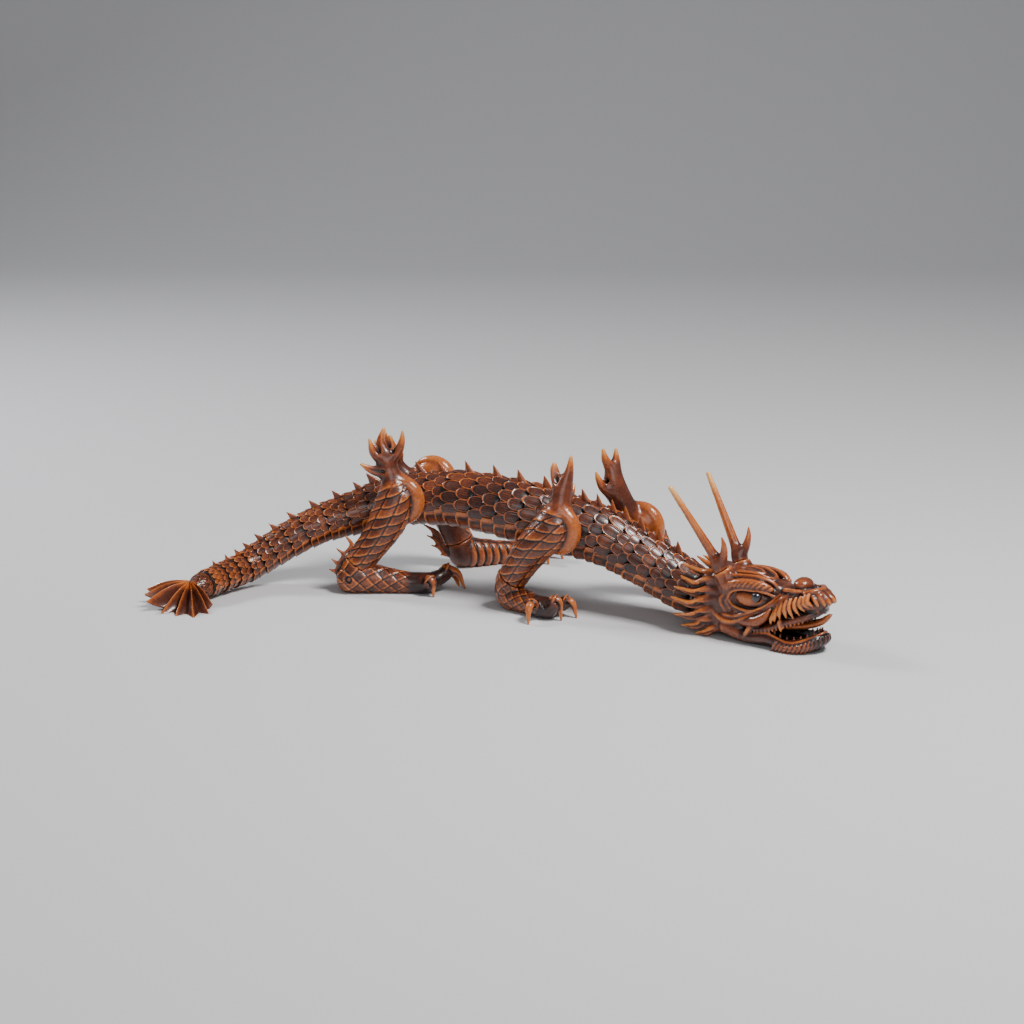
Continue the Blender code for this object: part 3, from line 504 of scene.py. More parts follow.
class Limb:
    """Arc length and angle around a limb's centre line for any points."""

    def __init__(self, pts, outward):
        p = smooth_line(pts, 10)
        self.p, self.r = p[:, :3], p[:, 3]
        seg = np.linalg.norm(np.diff(self.p, axis=0), axis=1)
        self.s = np.r_[0, np.cumsum(seg)]
        t = np.gradient(self.p, axis=0)
        self.t = t / np.linalg.norm(t, axis=1)[:, None]
        o = np.asarray(outward, float)
        n = o - self.t * (self.t @ o)[:, None]
        self.nrm = n / np.linalg.norm(n, axis=1)[:, None]
        self.bin = np.cross(self.t, self.nrm)

    def coords(self, pos):
        best = np.full(len(pos), 1e9)
        k = np.zeros(len(pos), int)
        for i, c in enumerate(self.p):
            e = ((pos - c) ** 2).sum(1)
            m = e < best
            best[m], k[m] = e[m], i
        rel = pos - self.p[k]
        along = (rel * self.t[k]).sum(1)
        q = rel - self.t[k] * along[:, None]
        th = np.arctan2((q * self.bin[k]).sum(1), (q * self.nrm[k]).sum(1))
        return self.s[k] + along, th, self.r[k]

# ----------------------------------------------------------------- body rings
COLS = 15                                     # scale columns round the body
BELLY = math.radians(104)                     # scutes take over below this angle
U_INNER = [-0.80, -0.60, -0.40, -0.20, 0.0, 0.20, 0.40, 0.60, 0.80]
U_ALL = np.array([-1.0, -0.955, -0.89] + U_INNER + [0.89, 0.955, 1.0])
V_ALL = np.array([-1.0, -0.6, -0.2, 0.12, 0.38, 0.60, 0.79, 0.89, 0.955, 1.0])


def plate_height(U, V, raise_, rim, dome, line, tip=0.22, square=False):
    """Height and wear over a scale: domed field, engraved lines, raised rim; the wear also holds painted shade towards
    the root, where the neighbouring row overlaps it.
    """
    edge = np.maximum(np.abs(U), V if not square else np.maximum(V, -9))
    up = np.clip((edge - 0.82) / 0.08, 0, 1) * np.clip((1.06 - edge) / 0.09, 0, 1)
    dip = np.exp(-((edge - 0.80) / 0.05) ** 2)
    k = np.round((U + 0.80) / 0.20)
    inner = (np.abs(U) < 0.81) & (V < 0.75)
    groove = np.where(inner, np.where(k % 2 == 1, 1.0, -1.0), 0.0)
    tilt = (V + 1.0) * 0.5
    h = raise_ * tilt ** 1.15 + dome * (1 - U ** 2) * (0.35 + 0.65 * np.clip(1 - V ** 2, 0, 1))
    h = h + rim * up - rim * 0.7 * dip + line * groove
    w = -0.16 + 0.78 * up - 0.42 * dip + 0.17 * groove
    # painted shade: darker towards the root, under the overlapping row
    w = w - 0.75 * np.clip((-0.25 - V) / 0.6, 0, 1) + tip * np.clip(V, 0, 1)
    return h, w


def plate(soup, base_fn, raise_, rim, dome, line, wear0, tone0, sink, U=U_ALL, V=V_ALL, tip=0.22):
    """One scale: a top sheet on a grid, walls down to a sunken sheet under it."""
    Ug, Vg = np.meshgrid(U, V, indexing="ij")
    h, w = plate_height(Ug, Vg, raise_, rim, dome, line, tip)
    top = base_fn(Ug, Vg, h)
    bot = base_fn(Ug, Vg, np.full_like(h, -sink))
    nu, nv = Ug.shape
    verts = [top.reshape(-1, 3)]
    wear_and_shade = [(w + wear0).ravel()]
    idx = np.arange(nu * nv).reshape(nu, nv)
    faces = []
    a, b, c, d = idx[:-1, :-1], idx[1:, :-1], idx[1:, 1:], idx[:-1, 1:]
    faces += np.stack([a, b, c, d], -1).reshape(-1, 4).tolist()
    ring = np.r_[idx[:, 0], idx[-1, 1:], idx[-2::-1, -1], idx[0, -2:0:-1]]
    low = bot.reshape(-1, 3)[ring]
    mid = verts[0][ring] * 0.45 + low * 0.55
    n0 = nu * nv
    m = len(ring)
    verts += [mid, low]
    # painted shade: the walls and the sunken sheet under the scale are coloured dark for the shade beneath its raised
    # tip
    wear_and_shade += [np.full(m, -0.85), np.full(m, -1.1)]
    for i in range(m):
        j = (i + 1) % m
        faces.append((ring[j], ring[i], n0 + i, n0 + j))
        faces.append((n0 + j, n0 + i, n0 + m + i, n0 + m + j))
    faces.append(tuple(n0 + m + i for i in range(m)))
    soup.add(np.vstack(verts), faces, np.concatenate(wear_and_shade), tone0)


def scale_base(s_tip, length, th0, halfw, r0, skew):
    """Maps the scale grid to the body: v from root to tip, u across, U-shaped at the tip."""
    def fn(U, V, h):
        vv = np.clip(V, 0, 1)
        x = U * np.sqrt(1 - 0.5 * vv ** 2)
        y = np.where(V > 0, V * np.sqrt(1 - 0.5 * U ** 2 * 1.0), V)
        x = x * (1.0 - 0.10 * np.clip(-V, 0, 1)) * (1 - 0.07 * vv ** 3)
        y01 = (y + 1.0) * 0.5
        th = th0 + halfw * x + skew * y01
        s = s_tip + length * (1.0 - y01)
        return BODY.skin(s, th, h + r0(s))
    return fn


def ring_profile(a, b):
    """Base radius offset of a ring's body along its length, flared to the tail."""
    _, r, *_ = BODY.frames([(a + b) / 2])
    r = r[0]
    xs = [a - 1.0, a, b - min(1.8, (b - a) * 0.2), b, b + 1.0]
    ys = [0.008 * r, 0.008 * r, -0.040 * r, -0.070 * r, -0.070 * r]
    return lambda s: np.interp(s, xs, ys)


def blade(soup, s, height, base, room, wear0):
    """A flat thorn on the back: lens section, sharp edges, tip swept to the tail."""
    c, r, side, up, t = (x[0] for x in BODY.frames([s]))
    root = c + up * (r - 1.2)
    tip = c + up * (r + height) - t * (base * 0.42)
    ahead, behind = min(base * 0.55, room[1] - 0.7), min(base * 0.45, room[0] - 0.7)
    w = 0.25 * height
    verts, wear_and_shade = [], []
    levels = np.array([0, 0.18, 0.34, 0.5, 0.65, 0.78, 0.88, 0.95, 1.0])
    prof = [(1, 0), (0.72, 0.30), (0.42, 0.60), (0.0, 0.92), (-0.42, 0.60), (-0.72, 0.30),
            (-1, 0), (-0.72, -0.30), (-0.42, -0.60), (0.0, -0.92), (0.42, -0.60), (0.72, -0.30)]
    for q in levels:
        mid = root + (tip - root) * q
        size = (1 - q) ** 0.92 + 0.05
        bow = 0.10 * base * math.sin(math.pi * q)
        for px, py in prof:
            along = (ahead if px > 0 else behind) * px * size
            verts.append(mid + t * (along + bow * 0.5) + side * (w * py * size))
            e = abs(px)
            wear_and_shade.append(wear0 + (0.85 if e > 0.9 else (0.22 if e > 0.6 else 0.02)) + 0.35 * q - (0.75 if q < 0.1 else 0.25 if q < 0.25 else 0))
    n = len(prof)
    faces = []
    for i in range(len(levels) - 1):
        for k in range(n):
            j = (k + 1) % n
            faces.append((i * n + k, i * n + j, (i + 1) * n + j, (i + 1) * n + k))
    faces.append(tuple(range(n))[::-1])
    faces.append(tuple(range((len(levels) - 1) * n, len(levels) * n)))
    soup.add(verts, faces, wear_and_shade, 0.40)


def row_first(a):
    return a > 1.0


def ring_core(soup, a, b, r0):
    """The ring's own body, finely grooved where it shows between scales."""
    n = 96
    th = np.linspace(0, 2 * math.pi, n, endpoint=False)
    st = np.array([a + 0.17, a + 0.9, (a * 2 + b) / 3, (a + 2 * b) / 3, b - min(1.8, (b - a) * 0.2), b - 0.6, b - 0.17])
    fine = np.where(np.arange(n) % 2 == 0, 0.06, -0.06)
    verts, wear_and_shade = [], []
    for i, s in enumerate(st):
        h = r0(s) + (fine if 0 < i < len(st) - 1 else 0 * fine)
        verts.append(BODY.skin(np.full(n, s), th, h))
        wear_and_shade.append(np.where(np.arange(n) % 2 == 0, -0.45, -0.85))
    for s in (st[-1], st[0]):
        verts.append(BODY.skin(np.full(n, s), th, 0.0, 0.62))
        wear_and_shade.append(np.full(n, -1.0))
    faces = []
    m = len(st)
    order = list(range(m)) + [m, m + 1]
    for i in range(len(order)):
        p, q = order[i] * n, order[(i + 1) % len(order)] * n
        for k in range(n):
            j = (k + 1) % n
            faces.append((p + k, p + j, q + j, q + k))
    soup.add(np.vstack(verts), faces, np.concatenate(wear_and_shade), 0.0)


def body_rings():
    s = 0.0
    total = sum(TAIL_RINGS) + sum(TRUNK_RINGS) + sum(NECK_RINGS)
    k = BODY.length / total
    row = 0
    for kind, lengths in (("tail", TAIL_RINGS), ("trunk", TRUNK_RINGS), ("neck", NECK_RINGS)):
        for i, raw in enumerate(lengths):
            name = "%s_ring_%02d" % (kind, i + 1)
            a, b = s, s + raw * k
            _, rr, *_ = BODY.frames([(a + b) / 2])
            rm = rr[0]
            soup = Soup()
            r0 = ring_profile(a, b)
            ring_core(soup, a, b, r0)
            rows = max(1, int(round((b - a) / ((0.46 if kind != "tail" else 0.46 + 0.12 * max(0.0, 1 - i / 7.0)) * rm))))
            sp = (b - a) / rows
            for j in range(rows - 1, -1, -1):
                tip = a - 0.30 * sp + j * sp if row_first(a) or j else a + 0.2 + j * sp
                length = min(1.75 * sp, b - 0.25 - tip)
                raise_ = max(0.072 * rm, 0.82)
                half = math.pi / COLS
                off = 0.5 * (row % 2)
                row += 1
                for c in range(COLS):
                    th = 2 * half * (c + off)
                    th = (th + math.pi) % (2 * math.pi) - math.pi
                    if abs(th) > BELLY:
                        continue
                    hw = half * 1.02 * RNG.uniform(0.96, 1.04)
                    warm = float(np.clip(RNG.normal(0.26, 0.28), 0, 0.9))
                    plate(soup, scale_base(tip + RNG.uniform(-0.02, 0.05) * sp, length, th + RNG.uniform(-0.012, 0.012), hw, r0, RNG.uniform(-0.02, 0.02)),
                          raise_ * RNG.uniform(0.92, 1.06), max(0.013 * rm, 0.15), 0.016 * rm, max(0.0062 * rm, 0.07),
                          RNG.uniform(-0.16, 0.10) + 0.10 * math.cos(th) - (0.0 if kind == "tail" else 0.13), warm, 0.045 * rm, tip=0.22 + (0.75 * max(0.0, 1 - i / 9.0) if kind == "tail" else 0.0))
                # the belly scute of this row
                cover = math.pi - BELLY + 0.10
                us = np.sort(np.r_[-1.0, -0.965, -0.925, -0.88, 0.88, 0.925, 0.965, 1.0, np.linspace(-0.8, 0.8, 15)])

                def scute(U, V, h, tip=tip, length=length, r0=r0, cover=cover):
                    y01 = (V + 1) * 0.5
                    curve = 1 - 0.22 * np.abs(U) ** 9
                    sv = tip + length * (1 - y01 * curve)
                    return BODY.skin(sv, math.pi + cover * U, h * 0.8 + r0(sv))
                plate(soup, scute, raise_ * 0.9, 0.014 * rm, 0.0, 0.0, 0.02 + RNG.uniform(-0.08, 0.08), 0.42, 0.045 * rm, U=us)
            last = kind == "neck" and i == len(lengths) - 1
            if not last:
                height = THORN[kind] * (0.72 + 0.28 * min(1.0, (i + 2) / 6.0)) if kind == "tail" else THORN[kind]
                blade(soup, a + (b - a) * THORN_AT[kind], height, min(raw * k * 0.85, height * 1.15),
                      ((b - a) * THORN_AT[kind], (b - a) * (1 - THORN_AT[kind])), RNG.uniform(-0.1, 0.1))
            soup.piece("carved_" + name, [name])
            s = b


body_rings()


# ------------------------------------------------------------------- tail fan
FAN_APEX = np.array([-175.0, 13.0, 14.0])
FAN_TIPS = [                         # plan angle, length, tip height
    (150, 24, 6.0), (176, 26, 8.5), (202, 27.5, 8.8), (216, 29, 6.5),
    (234, 25, 0.3), (257, 26, 0.2), (280, 29, 0.2), (302, 25, 0.2), (322, 18, 3.0)]
FAN_THICK = 2.2


def fan_ray(ang, length, z, ridge, f):
    a = math.radians(ang)
    tip = np.array([FAN_APEX[0] + length * math.cos(a), FAN_APEX[1] + length * math.sin(a), z])
    lift = 2.4 if ridge else -1.6
    f = np.asarray(f)[:, None]
    return FAN_APEX + (tip - FAN_APEX) * f + np.array([0, 0, 1.0]) * lift * np.sin(np.pi * f)


def tail_fan():
    soup = Soup()
    f = np.r_[0.05, 0.12, np.linspace(0.2, 0.92, 13), 0.96, 0.985, 1.0]
    rays, kind = [], []
    for j, (ang, length, z) in enumerate(FAN_TIPS):
        rays.append(fan_ray(ang, length, z, True, f))
        kind.append(1.0)
        if j + 1 < len(FAN_TIPS):
            ang2, len2, z2 = FAN_TIPS[j + 1]
            rays.append(fan_ray((ang + ang2) / 2, (length + len2) / 2 * 0.74, max(0.3, (z + z2) / 2 - 1.2), False, f))
            kind.append(0.0)
    sub = [0.0, 0.05, 0.16, 0.34, 0.55, 0.76, 0.93]
    cols, wear_and_shade = [], []
    for k in range(len(rays) - 1):
        for w in sub:
            p = rays[k] * (1 - w) + rays[k + 1] * w
            p[:, 2] -= 0.45 * math.sin(math.pi * w) * f + (0.05 if w in (0.16, 0.55) else 0.0)
            ridge = (1 - w) if kind[k] else w
            cols.append(p)
            wear_and_shade.append(-0.16 + 1.1 * max(0.0, ridge - 0.93) / 0.07 * (0.55 + 0.45 * f) + 0.35 * (ridge > 0.8) + 0.25 * (ridge - 0.5))
    cols.append(rays[-1])
    wear_and_shade.append(np.full(len(f), 0.6))
    cols, wear_and_shade = np.array(cols), np.array(wear_and_shade)
    wear_and_shade += 0.9 * np.clip((0.34 - f) / 0.2, 0, 1) + 0.25 * np.clip((f - 0.93) / 0.07, 0, 1)
    drop = (FAN_THICK * (1.2 - 0.75 * f))[None, :, None] * np.array([0, 0, 1.0])
    low = cols - drop + (FAN_APEX - cols) * (0.02 * f[None, :, None] ** 6)
    nc, nf = cols.shape[:2]
    top = np.arange(nc * nf).reshape(nc, nf)
    bot = top + nc * nf
    faces = []
    for g, flip in ((top, False), (bot, True)):
        q = np.stack([g[:-1, :-1], g[:-1, 1:], g[1:, 1:], g[1:, :-1]], -1).reshape(-1, 4)
        faces += (q[:, ::-1] if flip else q).tolist()
    for i in range(nc - 1):
        faces.append((top[i, -1], bot[i, -1], bot[i + 1, -1], top[i + 1, -1]))
        faces.append((bot[i, 0], top[i, 0], top[i + 1, 0], bot[i + 1, 0]))
    for i in range(nf - 1):
        faces.append((top[0, i], bot[0, i], bot[0, i + 1], top[0, i + 1]))
        faces.append((bot[-1, i], top[-1, i], top[-1, i + 1], bot[-1, i + 1]))
    soup.add(np.concatenate([cols.reshape(-1, 3), low.reshape(-1, 3)]), faces,
             np.concatenate([wear_and_shade.ravel(), np.full(nc * nf, -0.4) + 0.5 * (np.tile(f, nc) > 0.97)]), 0.28)
    # the stub that joins the fan to the last ring, under small scales
    st = np.array([-0.45, -2.5, -5.0, -7.5, -10.0, -12.5, -15.0])
    sc = np.interp(-st, [0, 5, 9, 15], [0.97, 0.90, 0.66, 0.32])
    n = 48
    th = np.linspace(0, 2 * math.pi, n, endpoint=False)
    ripple = np.where(np.arange(n) % 2 == 0, 0.05, -0.05)
    verts = np.vstack([BODY.skin(np.full(n, s), th, ripple, k) for s, k in zip(st, sc)])
    faces = [(i * n + k, i * n + (k + 1) % n, (i + 1) * n + (k + 1) % n, (i + 1) * n + k)[::-1] for i in range(len(st) - 1) for k in range(n)]
    faces.append(tuple(range(n)))
    faces.append(tuple(range((len(st) - 1) * n, len(st) * n))[::-1])
    soup.add(verts, faces, -0.55, 0.1)
    r = BODY.frames([0.0])[1][0]
    r0 = lambda s: r * (np.interp(-np.asarray(s), [0, 5, 9, 15], [0.97, 0.90, 0.66, 0.32]) - 1.0)
    for j, tip in enumerate((-10.6, -8.4, -6.2, -4.1, -2.2)):
        for c in range(COLS):
            th0 = 2 * math.pi * (c + 0.5 * (j % 2)) / COLS
            plate(soup, scale_base(tip, min(3.6, -0.5 - tip), th0, math.pi / COLS * 1.0, r0, 0.0), 0.55, 0.10, 0.10, 0.04,
                  RNG.uniform(-0.2, 0.15), float(np.clip(RNG.normal(0.15, 0.2), 0, 0.7)), 0.35)
    soup.piece("carved_tail_fan", ["tail_fan"])


tail_fan()


# ----------------------------------------------------------------------- legs
# hip or shoulder centre, outward direction (plan degrees), collar radius,
# limb line, lower limb line, toes, claws, fin and flame prongs
LEGS = {
    "fore_right": dict(
        hub=(37.0, -8.0, 50.5), out=-120.0, collar=11.0, knee=(13.0, 4.0, 18.5), fold=(0.15, 0.1, 1.0),
        upper=[(36, -8, 50, 13), (28, -5.5, 42, 11.3), (20, -0.5, 30.5, 9.4), (13.5, 3.5, 19.5, 8.6)],
        lower=[(12.2, 4, 17, 8.2), (11.5, 3.5, 9, 8.2), (17, -1, 7, 7.2), (25, -8, 6.2, 6.2), (32, -14, 6, 6.6)],
        toes=[[(28, -15, 6, 4.6), (24.5, -20, 8.6, 3.9)], [(34, -17, 6, 4.8), (37, -19.5, 9.5, 4.2)],
              [(36, -12, 6, 4.6), (43, -11.5, 7.6, 3.9)]],
        claws=[[(24.5, -20, 9.5, 3.0), (22.6, -24.5, 8.6, 2.4), (22.0, -28.3, -0.4, 0.5)],
               [(36.5, -19.5, 12, 3.0), (39.7, -20.5, 10.5, 2.3), (41.0, -20.2, -0.4, 0.5)],
               [(43, -11.5, 9.5, 2.8), (47.5, -13.5, 8, 2.2), (50, -16.0, -0.4, 0.5)]],
        flame=[[(39.5, -6, 60, 7.2), (41.5, -4, 69, 6.0), (43, -3, 76, 4.6), (45.2, -2, 84, 2.8), (46.5, -2, 92, 1.0)],
               [(41, -3.5, 72, 4.2), (38.2, 0, 77.5, 3.0), (37.2, 2.5, 82.5, 2.6), (37, 3, 86, 1.5)],
               [(43, -1, 66, 3.0), (46.5, 3, 69, 2.2), (48.5, 6, 73.5, 0.9)]]),
    "hind_right": dict(
        hub=(-54.5, 41.0, 55.0), out=-108.0, collar=11.0, knee=(-79.0, 39.5, 16.5), fold=(0.1, 0.0, 1.0),
        upper=[(-54.5, 40.5, 54, 13), (-59, 40, 45.5, 12), (-64.5, 39.5, 36, 10), (-71.5, 39.5, 26, 8.8), (-78.5, 39.5, 17, 8.6)],
        lower=[(-82, 38.2, 8.4, 8.9), (-73, 38, 8.2, 9.0), (-61, 37.5, 6.8, 7.6), (-50, 36.5, 5.8, 6.6), (-40, 35, 5.8, 6.6)],
        toes=[[(-38, 33, 6.3, 4.8), (-35.5, 28, 8, 4.0)], [(-34, 36, 6.5, 5.0), (-27, 40, 10, 4.2)],
              [(-36, 38, 6.3, 4.8), (-29, 44.5, 8, 4.0)]],
        claws=[[(-36, 27.5, 10, 3.0), (-34.2, 26, 8.5, 2.3), (-33.4, 25.0, -0.4, 0.5)],
               [(-26.5, 41, 13, 3.1), (-19.5, 41, 10, 2.3), (-15.2, 41, 0.6, 0.5)],
               [(-28.5, 46, 10, 2.9), (-22, 47.5, 7.5, 2.2), (-18.8, 48, -0.4, 0.5)]],
        fin=[(-86, 38, 34.5), (-91.5, 38.5, 26.5), (-94.5, 38.5, 20.0), (-96, 38.5, 13.5)], fin_root=(-86.0, 38.3, 12.0),
        flame=[[(-57, 42.5, 64, 7.2), (-59.5, 44, 73, 5.4), (-62.5, 45.5, 82, 4.0), (-64.6, 47, 89, 2.6), (-62.6, 48, 97, 1.0)],
               [(-60, 44.5, 78, 3.8), (-54.5, 44, 84, 3.0), (-52, 44, 90, 2.0), (-51.5, 44, 96, 0.8)],
               [(-61.5, 44.5, 77, 3.8), (-68.5, 44, 83, 2.6), (-71, 44, 91, 0.9)],
               [(-60, 43.5, 71, 3.8), (-69, 42, 73, 2.6), (-76, 41, 77, 0.9)]]),
    "fore_left": dict(
        hub=(88.5, 25.5, 44.0), out=60.0, collar=11.0, knee=(101.5, 29.5, 17.5), fold=(0.1, 0.0, 1.0),
        upper=[(89, 26, 44, 13), (94, 28.5, 36, 11.0), (98, 29.5, 27, 9.2), (101, 29.5, 18.5, 8.6)],
        lower=[(102.5, 29.5, 15.5, 8.2), (101.5, 29.5, 9, 8.2), (106, 27, 7, 7.0), (111, 23.5, 6.2, 6.2), (116, 20, 6, 6.6)],
        toes=[[(116, 16, 6, 4.6), (118, 11.5, 8.4, 3.9)], [(119, 19, 6, 4.8), (124, 17.5, 9.5, 4.2)],
              [(117.5, 23, 6, 4.6), (122.5, 26, 8, 3.9)]],
        claws=[[(118, 11.2, 10, 3.0), (120, 8.5, 8, 2.2), (121, 7, -0.4, 0.5)],
               [(124, 17.5, 12, 3.0), (129, 16, 9.5, 2.2), (131, 15.2, -0.4, 0.5)],
               [(122.5, 26.2, 9.5, 2.9), (127, 28, 7.5, 2.2), (129.5, 28.8, -0.4, 0.5)]],
        flame=[[(80, 22, 53, 7.0), (75.5, 22, 62, 6.8), (72.5, 22, 70, 6.2), (70.5, 22.5, 78, 4.0), (67, 22.3, 84.5, 2.4), (65.6, 22, 90.3, 1.0)],
               [(72, 23, 74, 4.0), (73.2, 25, 81, 2.8), (73, 25.5, 89.5, 1.2)],
               [(74, 21, 63, 4.4), (66.5, 18.5, 68, 3.0), (63, 17.4, 73.5, 1.9), (61.6, 17, 78, 0.8)]]),
    "hind_left": dict(
        hub=(-35.0, 79.5, 58.5), out=70.0, collar=11.0, knee=(-20.0, 92.5, 17.0), fold=(0.1, 0.0, 1.0),
        upper=[(-35, 80.5, 57.5, 13), (-30.5, 86.5, 45, 11.6), (-25.5, 91, 31, 9.6), (-20.5, 92.5, 18, 8.8)],
        lower=[(-17, 92, 8.6, 8.8), (-8, 95, 7.8, 8.6), (3, 99, 6.6, 7.4), (14.5, 103.5, 5.8, 6.6), (25, 105.5, 5.8, 6.6)],
        toes=[[(27, 102, 6.3, 4.8), (31, 98, 8, 4.0)], [(29, 106, 6.5, 5.0), (35.5, 106.5, 10, 4.2)],
              [(27, 109, 6.3, 4.8), (31.5, 113, 8, 4.0)]],
        claws=[[(31, 97.5, 10, 3.0), (34, 95.5, 8, 2.2), (35.5, 94.5, -0.4, 0.5)],
               [(35.5, 106.5, 12.5, 3.0), (41.5, 106.5, 9.5, 2.2), (44.5, 106.5, -0.4, 0.5)],
               [(31.5, 113.3, 10, 2.9), (36, 115.5, 7.5, 2.2), (38.5, 116.5, -0.4, 0.5)]],
        fin=[(-42, 86, 28.5), (-39.5, 86.5, 21), (-37, 87, 14.5), (-31, 88, 8.0)], fin_root=(-23.0, 91.0, 11.0),
        flame=[[(-49, 78, 57, 7.0), (-55.5, 78, 65, 5.2), (-59.5, 77.5, 74, 3.8), (-63, 78, 82, 2.2), (-64, 78, 88.5, 0.9)],
               [(-56, 77.5, 74, 3.4), (-65, 77, 77, 2.2), (-69.5, 77, 82, 0.9)],
               [(-58.5, 77.5, 73, 3.0), (-59.5, 77.5, 80, 2.0), (-60, 77.5, 85, 0.8)]]),
}


def shingle(s, q, pitch_s, pitch_q, shear, round_=0.13):
    """Sheared grid of overlapping scales. Returns height 0-1, rim and groove weights."""
    cq = q / pitch_q
    col = np.floor(cq)
    c = cq - col
    a = s / pitch_s + shear * cq + round_ * (2 * c - 1) ** 2
    row = np.floor(a)
    a = a - row
    edge = np.minimum(c, 1 - c)
    h = a ** 1.3 * np.clip(edge / 0.10, 0.25, 1) * np.clip((1.0 - a) / 0.05, 0, 1) ** 0.5
    rim = np.exp(-((1 - a) / 0.13) ** 2) + 0.55 * np.exp(-((c - 0.90) / 0.07) ** 2) * (a > 0.15)
    groove = np.exp(-(a / 0.10) ** 2) + 0.8 * np.exp(-(edge / 0.05) ** 2)
    rnd = np.sin(row * 12.9898 + col * 78.233) * 43758.5453
    return h, np.clip(rim, 0, 1), np.clip(groove, 0, 1), rnd - np.floor(rnd)


def diamonds(s, q, pitch_s, pitch_q):
    """Overlapping lozenges: each is high at its far corner."""
    x, y = s / pitch_s, q / pitch_q
    p, r = x + y, x - y
    i, j = np.floor(p), np.floor(r)
    a, b = p - i, r - j
    far = np.maximum(a, b)
    near = np.minimum(a, b)
    h = (0.5 * (a + b)) ** 1.1 * np.clip((1 - far) / 0.07, 0, 1) ** 0.6 * np.clip(near / 0.06, 0.3, 1)
    rim = np.exp(-((0.90 - far) / 0.075) ** 2)
    groove = np.exp(-(near / 0.08) ** 2) * 0.9 + np.exp(-((1 - far) / 0.025) ** 2) * 0.5
    rnd = np.sin(i * 12.9898 + j * 78.233) * 43758.5453
    return h, np.clip(rim, 0, 1), np.clip(groove, 0, 1), rnd - np.floor(rnd)


def body_rows(scale, extra):
    """The body as a tapered chain, for cutting whatever hugs it."""
    d = BODY.d[::12]
    return np.c_[d[:, :3], d[:, 3] * scale + extra]


BODY_ROWS = body_rows(1.055, 0.32)


def cut_body(f):
    lo, hi = f.lo - 22, f.lo + f.h * f.n + 22
    ok = ((BODY_ROWS[:, :3] > lo) & (BODY_ROWS[:, :3] < hi)).all(1)
    i = np.nonzero(ok)[0]
    if len(i) < 2:
        return
    i0, i1 = max(i[0] - 1, 0), min(i[-1] + 2, len(BODY_ROWS))
    rows = BODY_ROWS[i0:i1]
    X, Y, Z = f.points()
    best = np.full(f.d.shape, 99.0, np.float32)
    for a, b in zip(rows[:-1], rows[1:]):
        c = (a[:3] + b[:3]) / 2
        m = np.linalg.norm(b[:3] - a[:3]) / 2 + max(a[3], b[3]) + 6
        w0 = np.clip(((c - m - f.lo) / f.h).astype(int), 0, f.n)
        w1 = np.clip(((c + m - f.lo) / f.h).astype(int) + 1, 0, f.n)
        if (w1 <= w0).any():
            continue
        sl = tuple(slice(w0[k], w1[k]) for k in range(3))
        x, y, z = X[sl[0]] - a[0], Y[:, sl[1]] - a[1], Z[:, :, sl[2]] - a[2]
        ab = b[:3] - a[:3]
        t = np.clip((x * ab[0] + y * ab[1] + z * ab[2]) / float(ab @ ab), 0, 1)
        e = np.sqrt((x - t * ab[0]) ** 2 + (y - t * ab[1]) ** 2 + (z - t * ab[2]) ** 2) - (a[3] + (b[3] - a[3]) * t)
        best[sl] = np.minimum(best[sl], e)
    f.d = smax(f.d, -best, 0.5).astype(np.float32)


def plane(f, at, n):
    """Signed distance to a plane over the whole grid, positive along n."""
    X, Y, Z = f.points()
    return ((X - at[0]) * n[0] + (Y - at[1]) * n[1] + (Z - at[2]) * n[2]).astype(np.float32)


def finish_field(f, name, nodes, extra_wear, tone, hatch=None, ground=True):
    if ground:
        f.d = smax(f.d, -plane(f, (0, 0, 0.0), (0, 0, 1.0)), 0.0)
    pos, quads = f.mesh()
    wear_and_shade = f.wear_and_shade(pos) + extra_wear(pos)
    ob = make_piece(name, pos, quads, wear_and_shade, tone(pos), WOOD, nodes)
    if hatch is not None:
        a = ob.data.attributes.new("hatch", "FLOAT_VECTOR", "POINT")
        a.data.foreach_set("vector", hatch(pos).astype(np.float32).ravel())
    print("PIECE", name, len(pos), len(quads) * 2)
    return ob


def bounds_of(rows, pad):
    p = np.array(rows, float)
    return (p[:, :3] - p[:, 3:]).min(0) - pad, (p[:, :3] + p[:, 3:]).max(0) + pad


CUPS = {  # hollows scooped into the flame tufts
    "hind_right": [[(-57.6, 42.6, 84.5, 1.4), (-57.4, 43.0, 90.0, 2.5), (-57.0, 44.0, 97.0, 3.6)],
                   [(-65.2, 43.0, 83.0, 0.9), (-66.4, 43.0, 88.0, 1.7), (-67.0, 43.5, 94.0, 2.8)],
                   [(-62.0, 39.8, 72.6, 0.8), (-68.0, 39.4, 73.6, 1.0), (-73.0, 39.2, 75.6, 0.6)]],
    "fore_right": [[(39.0, -4.4, 76.0, 0.7), (37.6, -2.4, 80.5, 1.7), (37.2, -0.6, 85.0, 1.3)],
                   [(41.6, -2.6, 80.0, 0.9), (41.4, -1.6, 84.5, 2.0), (41.5, -0.5, 90.0, 3.2)]],
    "fore_left": [[(69.5, 20.0, 70.0, 0.8), (67.0, 17.6, 74.0, 1.5), (65.4, 16.0, 79.0, 1.6)],
                  [(70.5, 23.6, 83.0, 1.0), (70.0, 24.0, 87.0, 1.8), (70.0, 24.5, 92.0, 2.8)]],
    "hind_left": [[(-60.5, 75.6, 78.0, 0.8), (-62.0, 75.2, 82.5, 1.5), (-64.0, 75.0, 87.0, 1.6)]]}


